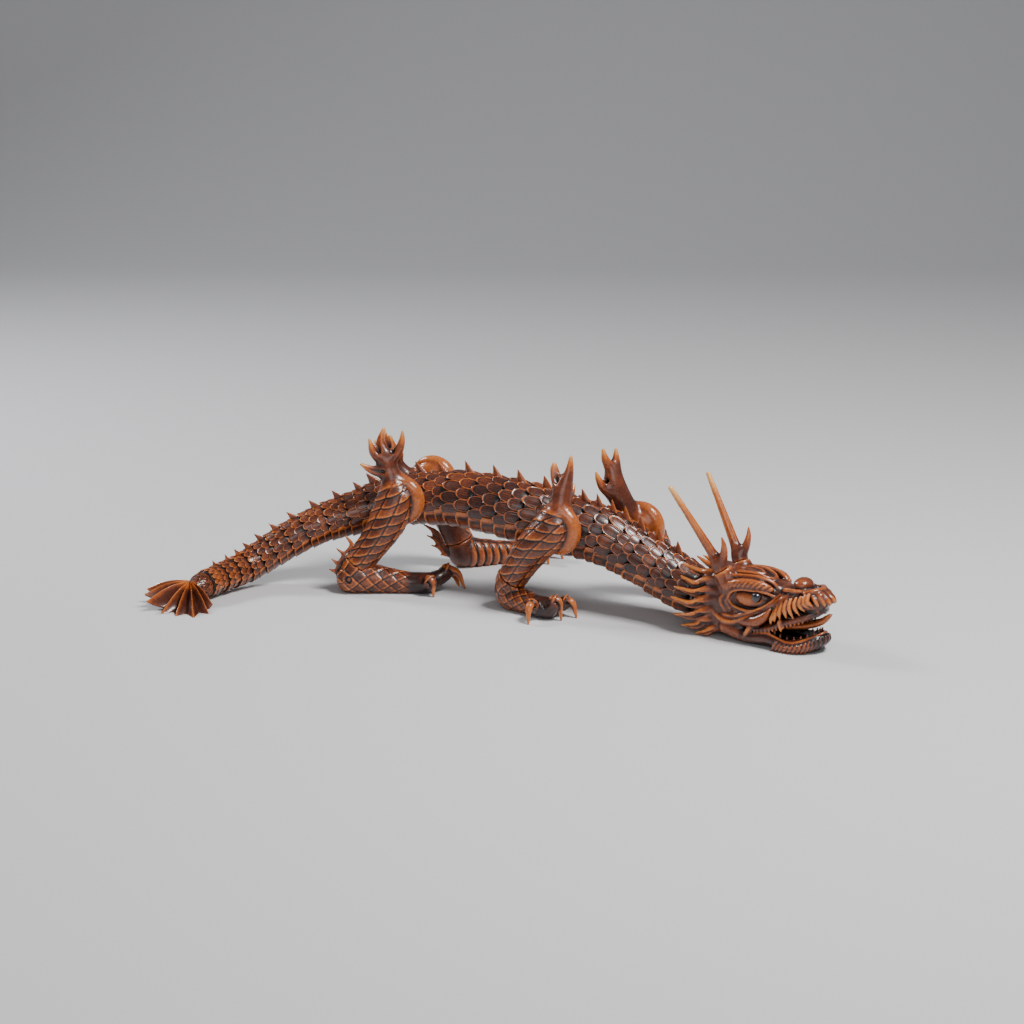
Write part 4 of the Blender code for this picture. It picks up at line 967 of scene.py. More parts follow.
def upper_leg(key, d):
    out = np.array([math.cos(math.radians(d["out"])), math.sin(math.radians(d["out"])), 0.0])
    fwd = np.array([-out[1], out[0], 0.0])
    if fwd[0] < 0:
        fwd = -fwd
    axes = np.array([out, fwd, (0, 0, 1.0)])
    hub = np.array(d["hub"], float)
    rows = [r for p in d["flame"] for r in p] + list(d["upper"]) + [(*(hub - out * 3), 16.5)]
    lo, hi = bounds_of(rows, 1.5)
    f = Field(lo, hi, 0.535)
    f.ball(hub + out * 0.8 - fwd * 1.6, (8.6, 10.4, 12.2), k=1.0, axes=axes)
    thigh_rows = [tuple(r) for r in d["upper"]]
    thigh_rows[0] = (*(np.array(thigh_rows[0][:3]) - fwd * 1.5), 9.6)
    thigh_rows[1] = (*(np.array(thigh_rows[1][:3]) - fwd * 0.5), thigh_rows[1][3] * 0.94)
    f.chain(thigh_rows, k=5.0)
    line = [tuple(hub + (hub - np.array(d["upper"][1][:3])) * 0.55) + (11.0,)] + list(d["upper"])
    limb = Limb(line, out)
    size = 7.0 if key.startswith("hind") else 7.0
    cols = 8
    turn = {"fore_right": 0.2, "fore_left": 0.2, "hind_right": 0.35, "hind_left": 0.35}[key]
    shear = -1.0 if key.endswith("right") else 1.0

    def pattern(pos):
        s, th, r = limb.coords(pos)
        q = (th / (2 * math.pi) * cols + turn)
        h, rim, groove, rnd = shingle(s, q, size, 1.0, shear)
        # the scales give out on the inner side, which is left smooth
        inner = np.clip((np.abs(th) - (2.1 if key.endswith("right") else 1.75)) / 0.35, 0, 1)
        return s, th, r, h + (0.3 - h) * inner, rim * (1 - inner), groove * (1 - inner), rnd + (0.1 - rnd) * inner

    relief(f, 1.6, lambda pos: 0.55 * pattern(pos)[3] - 0.20 * pattern(pos)[5] - 0.1)
    thigh = f.d.copy()
    # the smooth collar, thick towards the head
    ang = np.linspace(0, 2 * math.pi, 41)
    ring = [(*(hub - out * 1.8 + fwd * (11.0 * math.cos(a)) + np.array([0, 0, 1.0]) * (11.2 * math.sin(a))),
             2.3 + 2.6 * (0.5 + 0.5 * math.cos(a)) ** 0.8) for a in ang]
    f.chain(ring, k=0.5, n=1)
    f.ball(hub - out * 5.5, (5.0, 11.0, 11.0), k=1.5, axes=axes)
    collar = f.d.copy()
    for prong in d["flame"]:
        f.chain(prong, k=3.2, n=6)
    # spoon hollows between the prongs and in the lesser ones
    for cup in CUPS[key]:
        f.chain(cup, k=1.2, cut=True, n=6)
    cut_body(f)
    direction = unit(np.array(d["upper"][-1][:3]) - np.array(d["upper"][-2][:3]))
    near = np.array(d["knee"], float) - direction * 0.175
    pl = plane(f, near, direction)
    X, Y, Z = f.points()
    ball = (np.sqrt((X - near[0]) ** 2 + (Y - near[1]) ** 2 + (Z - near[2]) ** 2) - 15.0).astype(np.float32)
    f.d = np.where(ball < 0, smax(f.d, pl, 0.6), f.d).astype(np.float32)

    tips = np.array([p[-1][:3] for p in d["flame"]], float)

    def tip_near(pos):
        return np.clip(1.0 - np.min([np.linalg.norm(pos - t, axis=1) for t in tips], axis=0) / 9.0, 0, 1)

    def on_thigh(pos):
        return np.clip(1.3 - np.abs(f.sample(thigh, pos)) / 0.5, 0, 1)

    def extra(pos):
        s, th, r, h, rim, groove, rnd = pattern(pos)
        m = on_thigh(pos)
        fl = np.clip((f.sample(collar, pos) - 0.3) / 3.0, 0, 1)
        polished = 1 - m
        return m * (0.70 * rim - 0.60 * groove - 0.20 + 0.30 * (rnd - 0.5) + 0.25 * h) + polished * (0.30 * (1 - fl) + fl * (0.55 * tip_near(pos) - 0.26))

    def tone(pos):
        s, th, r, h, rim, groove, rnd = pattern(pos)
        m = on_thigh(pos)
        fl = np.clip((f.sample(collar, pos) - 0.3) / 3.0, 0, 1)
        return m * (0.10 + 0.45 * rnd) + (1 - m) * (0.62 - 0.34 * fl + 1.15 * tip_near(pos))

    def hatch(pos):
        s, th, r, h, rim, groove, rnd = pattern(pos)
        m = on_thigh(pos) * np.clip(1 - rim - groove, 0, 1)
        return np.stack([s * 0.35 + th * 1.6 * r * 0.10, th * r, m], 1)

    return finish_field(f, "carved_" + key + "_upper_leg", [key + "_upper_leg"], extra, tone, hatch, ground=False)


def lower_leg(key, d):
    hind = key.startswith("hind")
    rows = [r for p in d["toes"] + d["claws"] for r in p] + list(d["lower"]) + [(*d["knee"], 9.5)]
    if "fin" in d:
        rows += [(*p, 2.0) for p in d["fin"]] + [(*d["fin_root"], 4.0)]
    lo, hi = bounds_of(rows, 1.5)
    lo[2] = -2.0
    f = Field(lo, hi, 0.535)
    kn = np.array(d["knee"], float)
    u = np.array(d["upper"][-1], float)
    direction = unit(np.array(d["upper"][-1][:3]) - np.array(d["upper"][-2][:3]))
    top = (*(kn - direction * 2), u[3])
    f.chain([top, tuple(d["lower"][0])], k=1.0)
    f.chain(d["lower"], k=2.0)
    out = np.array([math.cos(math.radians(d["out"])), math.sin(math.radians(d["out"])), 0.35])
    limb = Limb([tuple(r) for r in ([top] if not hind else []) + list(d["lower"])], out)
    end = limb.s[-1] - (6.0 if hind else 5.0)

    side_at = 2.0 if key.endswith("right") else 1.5

    def ribbed(s, th):
        return np.clip((np.abs(th) - side_at) / 0.2, 0, 1) * np.clip((s - 1.5) / 1.5, 0, 1) * float(hind)

    def pattern(pos):
        s, th, r = limb.coords(pos)
        if not hind:
            return (s, th, r) + diamonds(s, th / (2 * math.pi) * 8, 7.0, 1.0)
        h, rim, groove, rnd = diamonds(s, th / (2 * math.pi) * 7, 9.4, 1.0)
        # broad ribs across the inner side
        inner = np.clip((np.abs(th) - side_at) / 0.2, 0, 1)
        on = ribbed(s, th)
        a = (s + 3.0 * np.cos(th) + 1.0) / 5.0
        a = a - np.floor(a)
        rib = 0.4 + on * (1.6 * np.clip(1 - (2 * a - 1) ** 2, 0, 1) ** 0.7 - 0.4)
        edge = 0.7 * on * np.exp(-((a - 0.72) / 0.10) ** 2)
        gap = on * np.exp(-(np.minimum(a, 1 - a) / 0.11) ** 2)
        border = 0.8 * np.exp(-((np.abs(th) - side_at) / 0.09) ** 2)
        return (s, th, r, h + (rib - h) * inner, rim + (edge - rim) * inner,
                np.maximum(groove + (gap - groove) * inner, border), rnd + (0.25 - rnd) * inner)

    def fade(s):
        return np.clip((end - s) / 5.0, 0, 1)

    def bumps(pos):
        s, th, r, h, rim, groove, rnd = pattern(pos)
        return fade(s) * (0.50 * h - 0.28 * groove)

    relief(f, 1.5, bumps)
    shin = f.d.copy()
    # toes, knuckle rims and claws
    for toe in d["toes"]:
        f.chain(toe, k=2.4, n=4)
    paw = f.d.copy()
    for toe, claw in zip(d["toes"], d["claws"]):
        c = np.array(claw, float)
        ax = unit(c[1, :3] - c[0, :3])
        e1 = unit(np.cross(ax, (0.2, 0.1, 1.0)))
        e2 = np.cross(ax, e1)
        base = c[0, :3] + ax * 0.2
        ringp = [(*(base + (e1 * math.cos(a) + e2 * math.sin(a)) * (c[0, 3] + 0.35)), 0.72) for a in np.linspace(0, 2 * math.pi, 17)]
        f.chain(ringp, k=0.5, n=1)
    rims = f.d.copy()
    for claw in d["claws"]:
        c = np.array(claw, float)
        c[:, 3] *= (1.0, 0.96, 1.0)
        f.chain(c, k=0.25, n=8)
        ax = unit(c[2, :3] - c[0, :3])
        sidev = unit(np.cross(ax, (0, 0, 1.0)))
        for sg in (1, -1):
            f.chain([(*(c[0, :3] + sidev * sg * 2.5), 0.55), (*(c[1, :3] + sidev * sg * 2.0 - np.array([0, 0, 0.6])), 0.55),
                     (*(c[2, :3] * 0.75 + c[1, :3] * 0.25 + sidev * sg * 0.9), 0.25)], k=0.5, cut=True, n=5)
    # creases over the paw
    for toe in d["toes"]:
        t0, t1 = np.array(toe[0], float), np.array(toe[1], float)
        ax = unit(t1[:3] - t0[:3])
        e1 = unit(np.cross(ax, (0, 0, 1.0)))
        e2 = np.cross(e1, ax)
        for q in (0.25, 0.75):
            mid = t0[:3] * (1 - q) + t1[:3] * q
            rr = (t0[3] * (1 - q) + t1[3] * q) + 0.15
            f.chain([(*(mid + (e1 * math.cos(a) + e2 * math.sin(a)) * rr), 0.34) for a in np.linspace(0.2, math.pi - 0.2, 9)], k=0.7, cut=True, n=1)
    if "fin" in d:
        root = np.array(d["fin_root"], float)
        for i, tip in enumerate(np.array(d["fin"], float)):
            start = root + np.array([0, 0, 1.0 - 1.6 * i])
            bend = np.array(FIN_MID[key][i], float)
            f.chain([(*start, 2.6), (*bend, 1.55), (*tip, 0.4)], k=0.7, n=6)
            o = np.array([0, -1.0, 0]) if key.endswith("right") else np.array([0, 1.0, 0])
            for sg in (1, -1):
                f.chain([(*(start + o * sg * 2.9), 0.4), (*(bend + o * sg * 1.6), 0.5), (*(tip + o * sg * 0.5), 0.15)], k=0.5, cut=True, n=6)
        # the rib that the spikes spring from, clear of the thigh
        mids, ends = np.array(FIN_MID[key], float), np.array(d["fin"], float)
        share, thick = (0.12, 0.95) if key.endswith("right") else (0.28, 1.35)
        f.chain([(*p, thick) for p in mids + share * (ends - mids)] + [(*(root + np.array([1.5, 0, -2.0])), 2.2)], k=1.0, n=6)
    if key == "hind_right":
        # the round pin head at the knee, in a turned groove
        l0, l1 = np.array(d["lower"][0], float), np.array(d["lower"][1], float)
        o = unit(np.array([math.cos(math.radians(d["out"])), math.sin(math.radians(d["out"])), 0.0]))
        pin = l0[:3] + unit(l1[:3] - l0[:3]) * 1.0 + o * (l0[3] - 0.35) + np.array([0, 0, 1.2])
        f.ball(pin + o * 1.75, 2.55, k=0.4, cut=True)
        f.ball(pin - o * 0.95, (2.0, 2.0, 2.0), k=0.25)
    # the thigh's own space, with clearance
    g = Field.__new__(Field)
    g.lo, g.h, g.n, g.d = f.lo, f.h, f.n, np.full(f.d.shape, Field.FAR, np.float32)
    g.chain([(x, y, z, r + 0.45) for x, y, z, r in d["upper"]], k=1.0)
    pl = plane(g, kn + direction * 0.175, direction)
    space = np.maximum(g.d, pl)
    f.d = smax(f.d, -space, 0.4).astype(np.float32)

    spikes = np.array([np.array(p[:3], float) * (1 - q) + np.array(d["fin_root"][:3], float) * q
                       for p in d.get("fin", []) for q in np.linspace(0, 0.7, 6)])

    def on_spikes(pos):
        if not len(spikes):
            return np.zeros(len(pos))
        return np.clip(2.2 - np.min([np.linalg.norm(pos - c, axis=1) for c in spikes], axis=0) / 2.4, 0, 1)

    def on_shin(pos):
        return np.clip(1.3 - np.abs(f.sample(shin, pos)) / 0.45, 0, 1)

    def extra(pos):
        s, th, r, h, rim, groove, rnd = pattern(pos)
        m = np.maximum(on_shin(pos), ribbed(s, th)) * fade(s)
        cl = np.clip((f.sample(rims, pos) - 0.25) / 1.0, 0, 1)
        pw = np.clip((f.sample(paw, pos) - 0.25) / 0.6, 0, 1)
        return m * (0.62 * rim - 0.55 * groove - 0.22 + 0.3 * (rnd - 0.5)) + (1 - m) * (-0.62 + 0.62 * cl + 0.55 * pw * (1 - cl) - 0.30 * on_spikes(pos))

    def tone(pos):
        s, th, r, h, rim, groove, rnd = pattern(pos)
        m = np.maximum(on_shin(pos), ribbed(s, th)) * fade(s)
        cl = np.clip((f.sample(rims, pos) - 0.25) / 1.0, 0, 1)
        return m * (0.05 + 0.5 * rnd) + (1 - m) * 0.62 * cl * (1 - 0.75 * on_spikes(pos))

    def hatch(pos):
        s, th, r, h, rim, groove, rnd = pattern(pos)
        return np.stack([s * 0.6, th * r, on_shin(pos) * fade(s) * np.clip(1 - rim - groove, 0, 1)], 1)

    return finish_field(f, "carved_" + key + "_lower_leg", [key + "_lower_leg"], extra, tone, hatch)


FIN_MID = {
    "hind_right": [(-81.8, 38.3, 27.0), (-86.4, 38.5, 21.4), (-89.6, 38.5, 15.8), (-90.6, 38.5, 11.2)],
    "hind_left": [(-33.0, 87.8, 22.0), (-31.5, 88.4, 16.6), (-29.5, 89.0, 12.0), (-26.0, 89.6, 8.0)]}
for key, d in LEGS.items():
    upper_leg(key, d)
    lower_leg(key, d)


# ----------------------------------------------------------------------- head
def head_point(x, y, z):
    return HEAD_AT + HEAD_F * x + HEAD_L * y + np.array([0, 0, z])


def to_head(p):
    q = np.asarray(p, float) - HEAD_AT
    return np.stack([q @ HEAD_F, q @ HEAD_L, q[..., 2]], -1)


def from_head(p):
    return HEAD_AT + p[:, :1] * HEAD_F + p[:, 1:2] * HEAD_L + p[:, 2:] * np.array([0, 0, 1.0])


def side_y(f, x, z, y_max=19.0):
    """Where the head's side is at x, z, coming in from outside."""
    i = int(round((x - f.lo[0]) / f.h))
    k = int(round((z - f.lo[2]) / f.h))
    i, k = min(max(i, 0), f.n[0] - 1), min(max(k, 0), f.n[2] - 1)
    col = f.d[i, :, k]
    j1 = min(int((y_max - f.lo[1]) / f.h), len(col) - 1)
    for j in range(j1, 0, -1):
        if col[j] < 0:
            if j == j1:
                return f.lo[1] + f.h * j
            t = col[j] / (col[j] - col[j + 1])
            return f.lo[1] + f.h * (j + t)
    return None


def top_z(f, x, y):
    i = int(round((x - f.lo[0]) / f.h))
    j = int(round((y - f.lo[1]) / f.h))
    col = f.d[min(max(i, 0), f.n[0] - 1), min(max(j, 0), f.n[1] - 1), :]
    for k in range(len(col) - 2, 0, -1):
        if col[k] < 0:
            return f.lo[2] + f.h * (k + col[k] / (col[k] - col[k + 1]))
    return None


def on_side(f, rows, push=0.0, n=5, y_max=19.0):
    """Rows of x, z, radius laid on the head's side."""
    p = smooth_line(rows, n)
    ys = [side_y(f, x, z, y_max) for x, z, _ in p]
    last = next((y for y in ys if y is not None), 12.0)
    out = []
    for (x, z, r), y in zip(p, ys):
        last = y if y is not None else last
        out.append((x, last + push, z, r))
    q = np.array(out)
    for _ in range(2):
        if len(q) > 4:
            q[1:-1, 1] = 0.25 * q[:-2, 1] + 0.5 * q[1:-1, 1] + 0.25 * q[2:, 1]
    return [tuple(r) for r in q]


def near_line(pos, rows, n=6):
    """Distance of points from a line, less its radius, sides taken as mirrored."""
    p = smooth_line(rows, n)
    q = pos.copy()
    q[:, 1] = np.abs(q[:, 1])
    best = np.full(len(pos), 1e9)
    for a, b in zip(p[:-1], p[1:]):
        ab = b[:3] - a[:3]
        t = np.clip(((q - a[:3]) @ ab) / max(float(ab @ ab), 1e-9), 0, 1)
        e = np.linalg.norm(q - a[:3] - t[:, None] * ab, axis=1) - (a[3] + (b[3] - a[3]) * t)
        np.minimum(best, e, out=best)
    return best


def pitch_axes(deg):
    a = math.radians(deg)
    return np.array([[math.cos(a), 0, math.sin(a)], [0, 1, 0], [-math.sin(a), 0, math.cos(a)]])


CHEEK = [(-5.0, 17.2, 0.9), (-1.5, 14.0, 1.15), (3.5, 11.9, 1.3), (8.5, 11.9, 1.3), (13.5, 14.0, 1.2), (19.5, 17.2, 1.15),
         (26.0, 20.8, 1.1), (32.0, 25.0, 1.05), (36.5, 29.0, 1.0), (38.6, 32.4, 0.8)]
LIP = [(32.5, 19.5, 2.0), (35.0, 24.3, 2.5), (39.0, 28.6, 2.7), (44.0, 31.2, 2.6), (49.5, 32.6, 2.6), (54.0, 33.3, 2.4)]
RIM = [(16.0, 13.2, 4.4, 0.8), (20.5, 13.4, 6.2, 0.8), (26.0, 13.4, 8.0, 0.85), (31.0, 13.4, 8.9, 0.85), (36.0, 13.3, 7.6, 0.85),
       (41.5, 13.0, 5.9, 0.85), (46.0, 12.4, 5.7, 0.85), (51.0, 10.3, 7.3, 0.85), (56.0, 6.0, 9.6, 0.85), (59.0, 2.5, 11.2, 0.85), (59.6, 0.0, 11.6, 0.85)]
GUM = [(18.5, 12.2, 9.6, 1.3), (26.0, 12.4, 10.4, 1.4), (32.0, 12.2, 12.2, 1.5), (38.0, 11.8, 15.2, 1.7), (44.0, 11.4, 17.8, 1.8),
       (49.5, 10.0, 19.9, 2.1), (54.5, 7.2, 22.2, 2.2), (57.5, 3.5, 23.8, 2.2), (58.3, 0.0, 24.2, 2.2)]
LOCKS = [  # root, bend, tip, root radius
    ((-5.5, 9.0, 36.6), (-15.0, 9.5, 35.6), (-25.7, 11.0, 38.6), 2.5),
    ((-6.0, 12.2, 33.4), (-15.5, 14.5, 29.6), (-25.0, 14.5, 32.6), 2.9),
    ((-6.5, 13.4, 27.5), (-16.5, 16.3, 25.0), (-27.8, 17.0, 26.6), 2.7),
    ((-6.5, 13.8, 22.5), (-17.0, 17.2, 18.4), (-29.2, 17.6, 20.4), 2.9),
    ((-6.0, 13.8, 16.5), (-16.0, 16.8, 11.6), (-27.6, 17.2, 10.6), 3.0),
    ((-5.5, 13.4, 11.0), (-13.5, 15.6, 6.2), (-23.0, 16.0, 4.6), 2.7),
    ((-1.5, 12.6, 6.4), (-7.5, 14.4, 3.0), (-14.8, 14.6, 1.0), 2.4)]
FRINGE = [  # root and tip on the side view, tip radius follows
    ((34.6, 20.6), (33.0, 15.0)), ((36.3, 22.6), (35.4, 16.6)), ((38.6, 24.4), (38.5, 18.8)), ((41.2, 26.0), (42.4, 20.0)),
    ((43.8, 27.2), (46.0, 20.6)), ((46.6, 28.2), (49.2, 22.4)), ((49.2, 29.2), (51.8, 24.6)), ((51.4, 30.2), (54.0, 26.6)),
    ((53.4, 31.0), (56.0, 28.0))]
TONGUE = [(17, 0, 10.5, 6.4), (31, 0, 11.6, 6.6), (42, 0, 13.0, 6.2), (51, 0, 15.0, 4.8), (57.5, 0, 17.8, 3.1), (62.5, 0, 22.2, 1.3)]


def head():
    f = Field((-32.0, 0.0, -2.0), (66.5, 20.0, 44.0), 0.54)
    f.ball((-2, 0, 21.5), (17.4, 14.6, 15.6), k=3)
    f.ball((4, 0, 29.5), (19.5, 12.6, 9.0), k=4)
    f.ball((18, 0, 24), (23.5, 13.0, 11.2), k=4)
    f.ball((38, 0, 26.5), (21.5, 11.2, 7.4), k=4, axes=pitch_axes(4))
    f.ball((50, 0, 26.4), (12.0, 10.2, 4.2), k=3, axes=pitch_axes(10))
    f.ball((0, 0, 11.5), (19.5, 12.6, 10.8), k=4)
    f.ball((13, 0, 32.4), (19, 9.4, 6.4), k=4)
    f.ball((30, 0, 30.6), (10, 7.5, 4.2), k=3)
    # cheeks and jaw hinge
    f.ball((16, 10.5, 16), (10, 3.8, 6), k=3)
    f.ball((8.5, 11.4, 9.0), (7.0, 3.0, 4.6), k=1.5)
    f.ball((3.0, 10.5, 11.0), (7.0, 4.0, 6.5), k=2)
    # eye: a socket, the ball in it, lids
    f.ball((18.6, 15.2, 26.4), (12.4, 4.2, 6.6), k=1.2, cut=True)
    f.ball((18.6, 9.3, 26.4), (11.2, 5.4, 6.3), k=0.5)
    f.chain([(5.6, 13.4, 26.4, 0.7), (9.0, 14.2, 30.0, 0.9), (15.0, 14.5, 31.9, 1.0), (22.0, 14.3, 32.3, 1.0), (28.5, 12.6, 31.6, 0.9), (33.0, 10.2, 29.6, 0.7)], k=1.2)
    f.chain([(5.4, 13.3, 25.0, 0.55), (8.4, 14.0, 21.8, 0.65), (14.0, 14.3, 20.2, 0.7), (20.5, 14.1, 20.2, 0.7), (26.5, 12.9, 22.3, 0.65), (31.0, 11.3, 25.8, 0.6), (33.5, 9.8, 29.0, 0.5)], k=1.0)
    # brow band and the ridges over it
    brow = [(4.0, 13.0, 31.6, 1.7), (10.0, 13.8, 34.2, 2.5), (18.0, 13.6, 35.4, 2.8), (25.5, 12.0, 35.0, 2.6), (30.5, 10.2, 33.4, 1.7)]
    f.chain(brow, k=0.8)
    for line in ([(-3.5, 10.8, 35.9, 1.1), (5.5, 11.2, 37.3, 1.3), (14.8, 10.6, 38.3, 1.4), (23.5, 9.0, 38.2, 1.4), (29.8, 6.9, 36.2, 1.3), (33.6, 6.0, 32.2, 1.0)],
                 [(4.0, 6.8, 38.0, 0.9), (12.0, 6.9, 39.1, 1.1), (19.5, 5.8, 39.0, 1.15), (25.4, 4.0, 37.4, 1.1), (28.0, 0.0, 36.2, 1.1)],
                 [(4.0, 4.2, 38.2, 0.7), (11.0, 4.4, 39.0, 0.9), (17.0, 3.2, 38.9, 0.9), (20.6, 0.0, 38.4, 0.9)],
                 [(30.5, 5.5, 34.2, 1.1), (34.0, 4.2, 33.2, 1.2), (36.0, 0.0, 33.2, 1.2)],
                 [(29.0, 8.6, 32.8, 0.9), (34.0, 7.6, 30.8, 1.0), (37.5, 6.3, 31.2, 0.9)]):
        f.chain(line, k=1.3, n=7)
    for i in range(10):
        x = 4.6 + 2.75 * i
        zc = np.interp(x, [4, 10, 18, 25.5, 30.5], [31.6, 34.2, 35.3, 34.9, 33.4])
        rr = np.interp(x, [4, 10, 18, 25.5, 30.5], [1.2, 2.2, 2.5, 2.3, 1.2])
        f.chain(on_side(f, [(x - 1.5, zc - rr, 0.16), (x, zc, 0.46), (x + 2.1, zc + rr * 0.95, 0.2)], 0.05), k=0.5, cut=True, n=1)
    # folds behind the eye and the pit below them
    for rows in ([(6.6, 27.0, 0.4), (4.4, 23.2, 0.7), (6.8, 19.0, 0.5)], [(3.4, 28.0, 0.4), (0.9, 23.2, 0.7), (3.6, 17.6, 0.5)]):
        f.chain(on_side(f, rows, -0.05), k=1.0, n=1)
    for x, z, r in ((8.0, 18.2, 1.0), (5.2, 16.6, 0.7), (10.6, 17.2, 0.6)):
        y = side_y(f, x, z) or 14
        f.ball((x, y, z), r, k=0.4, cut=True)
    # the sweeping cheek ridge, a finer one inside it, the lobe under it
    cheek = on_side(f, CHEEK, -0.05)
    f.chain(cheek, k=1.1, n=1)
    inner = on_side(f, [(3.0, 15.2, 0.6), (8.5, 14.9, 0.7), (14.0, 16.9, 0.75), (20.0, 19.4, 0.75), (26.5, 22.7, 0.7), (32.0, 26.8, 0.6), (36.0, 31.0, 0.5)], -0.05)
    f.chain(inner, k=0.7, n=1)
    f.chain(on_side(f, [(4.0, 13.6, 0.4), (8.5, 13.4, 0.5), (14.0, 15.5, 0.5), (20.0, 18.3, 0.5), (26.5, 21.8, 0.5), (32.0, 26.0, 0.45), (36.3, 30.2, 0.4)], 0.2), k=0.4, cut=True, n=1)
    f.chain([(13.5, 12.6, 12.6, 2.0), (19.0, 13.2, 13.6, 2.9), (25.0, 13.4, 15.4, 3.1), (29.5, 13.0, 19.0, 2.3), (31.5, 12.4, 22.0, 1.2)], k=0.8)
    # nose
    f.ball((45.4, 0, 36.0), (5.5, 6.6, 4.5), k=0.9)
    f.chain([(37.0, 6.0, 32.6, 1.1), (38.6, 8.4, 34.0, 1.3), (42.4, 9.0, 34.6, 1.4), (47.0, 8.0, 34.4, 1.3), (50.5, 5.5, 34.6, 1.1)], k=0.6)
    f.chain([(40.0, 7.6, 36.0, 0.6), (42.4, 8.2, 36.4, 1.1), (45.0, 8.2, 35.9, 0.6)], k=0.4, cut=True)
    # upper lip: the moustache arch with its hanging lobes, the flared front
    lip = on_side(f, LIP, -0.9)
    f.chain(lip + [(58.0, 4.5, 33.2, 2.0), (59.5, 0.0, 33.0, 1.9)], k=1.0, n=1)
    f.chain([(51.0, 7.6, 33.8, 1.7), (55.0, 5.4, 35.2, 1.7), (57.6, 0.0, 35.4, 1.7)], k=1.2)
    f.ball((57.4, 0, 31.0), (6.8, 7.6, 3.8), k=1.6, axes=pitch_axes(-10))
    lobes = []
    for i, ((x0, z0), (x1, z1)) in enumerate(FRINGE):
        ym = np.interp(x0, [33, 45, 54], [13.3, 12.6, 10.0])
        y1 = np.interp(x1, [33, 45, 56], [14.0, 13.2, 8.8])
        up = (x0 + 0.4, ym - 1.2, z0 + 3.2, 0.9)
        lobes.append([up, (x0, ym, z0, 1.35), ((x0 + x1) / 2 - 0.2, (ym + y1) / 2 + 0.45, (z0 + z1) / 2, 1.2), (x1, y1 - 0.5, z1, 0.45)])
    for y0, x0, z0, x1, z1 in ((7.6, 56.2, 31.8, 59.0, 28.2), (5.4, 58.2, 32.8, 61.8, 28.4), (3.0, 59.4, 33.4, 63.8, 28.8), (0.0, 60.0, 33.6, 64.8, 29.2)):
        lobes.append([(x0 - 2.0, y0 * 0.9, z0 + 1.4, 1.1), (x0, y0, z0, 1.4), (x1 - 1.0, y0 * 1.04, (z0 + z1) / 2 - 0.2, 1.15), (x1, y0 * 1.06, z1, 0.5)])
    for lobe in lobes:
        f.chain(lobe, k=0.5, n=5)
    # gum with its teeth, canine and front fangs
    f.chain(GUM, k=0.9)
    g = smooth_line(GUM, 8)
    seg = np.r_[0, np.cumsum(np.linalg.norm(np.diff(g[:, :3], axis=0), axis=1))]
    teeth = []
    for s in np.arange(2.0, seg[-1], 2.35):
        p = np.array([np.interp(s, seg, g[:, k]) for k in range(4)])
        o = 0.8 if p[0] < 52 else 0.2
        teeth.append([(p[0], p[1] + o, p[2] - 0.4, 1.05), (p[0] + 0.1, p[1] + o + 0.1, p[2] - 2.7, 0.55)])
    for t in teeth:
        f.chain(t, k=0.35)
    fangs = [[(38.2, 12.4, 16.6, 1.7), (38.7, 12.7, 14.0, 1.25), (39.3, 12.4, 10.8, 0.4)], [(56.6, 5.4, 26.6, 1.5), (57.3, 5.6, 24.4, 1.1), (57.6, 5.6, 21.6, 0.4)],
             [(20.2, 13.4, 11.4, 1.5), (18.6, 14.2, 8.2, 1.25), (16.2, 14.2, 3.6, 0.4)]]
    for t in fangs:
        f.chain(t, k=0.5)
    # the open mouth between the gum and the jaw
    f.chain([(24.0, 0, 11.0, 2.6), (34.0, 0, 12.6, 4.4), (44.0, 0, 14.6, 5.2), (54.0, 0, 16.6, 5.2), (64.0, 0, 18.6, 5.4)], k=0.6, cut=True)
    f.chain([(24.0, 6, 8.6, 1.6), (34.0, 6.5, 10.8, 2.4), (44.0, 6.5, 12.4, 3.4), (54.0, 4.5, 15.0, 3.9), (63.0, 3, 17.6, 4.4)], k=0.6, cut=True)
    f.chain([(24.0, 10.2, 8.0, 0.8), (34.0, 10.6, 10.3, 1.3), (44.0, 10.4, 10.8, 2.4), (54.0, 7.6, 14.0, 3.0), (62.0, 5, 16.6, 3.4)], k=0.6, cut=True)
    # lower jaw: scoop, rim, fluted beard, chin on the ground
    jaw = Field(f.lo, f.lo + f.h * (f.n - 1), f.h)
    jaw.ball((27, 0, 2.6), (27, 11.6, 4.6), k=2, axes=pitch_axes(5))
    jaw.ball((43, 0, 2.6), (15.5, 11.4, 5.2), k=2, axes=pitch_axes(4))
    jaw.chain([(4, 11.6, 8, 4.4), (18, 12.0, 4.6, 3.2), (30, 12.2, 6.0, 3.0), (41.5, 11.8, 4.0, 3.0), (51.5, 8.6, 5.6, 3.0), (57.0, 4.4, 7.6, 2.9), (58.2, 0, 8.2, 2.9)], k=1.5)
    jaw.chain([(24, 0, 9.5, 3.4), (34, 0, 10.0, 4.6), (44, 0, 10.0, 4.9), (52, 0, 12.4, 4.4), (60, 0, 15.5, 4.2)], k=1.0, cut=True)
    jaw.chain([(26, 7, 8.6, 1.8), (34, 7.4, 9.2, 2.9), (43, 7.4, 8.4, 3.2), (50, 5.0, 9.9, 3.2), (56, 2.4, 12.5, 3.0)], k=1.0, cut=True)
    jaw.chain([(44, 9.4, 3.2, 3.0), (50.5, 7.0, 4.2, 3.0), (56.0, 4.0, 6.2, 2.9), (58.4, 0, 7.2, 2.9)], k=1.5)
    jaw.chain(RIM, k=0.5, n=7)
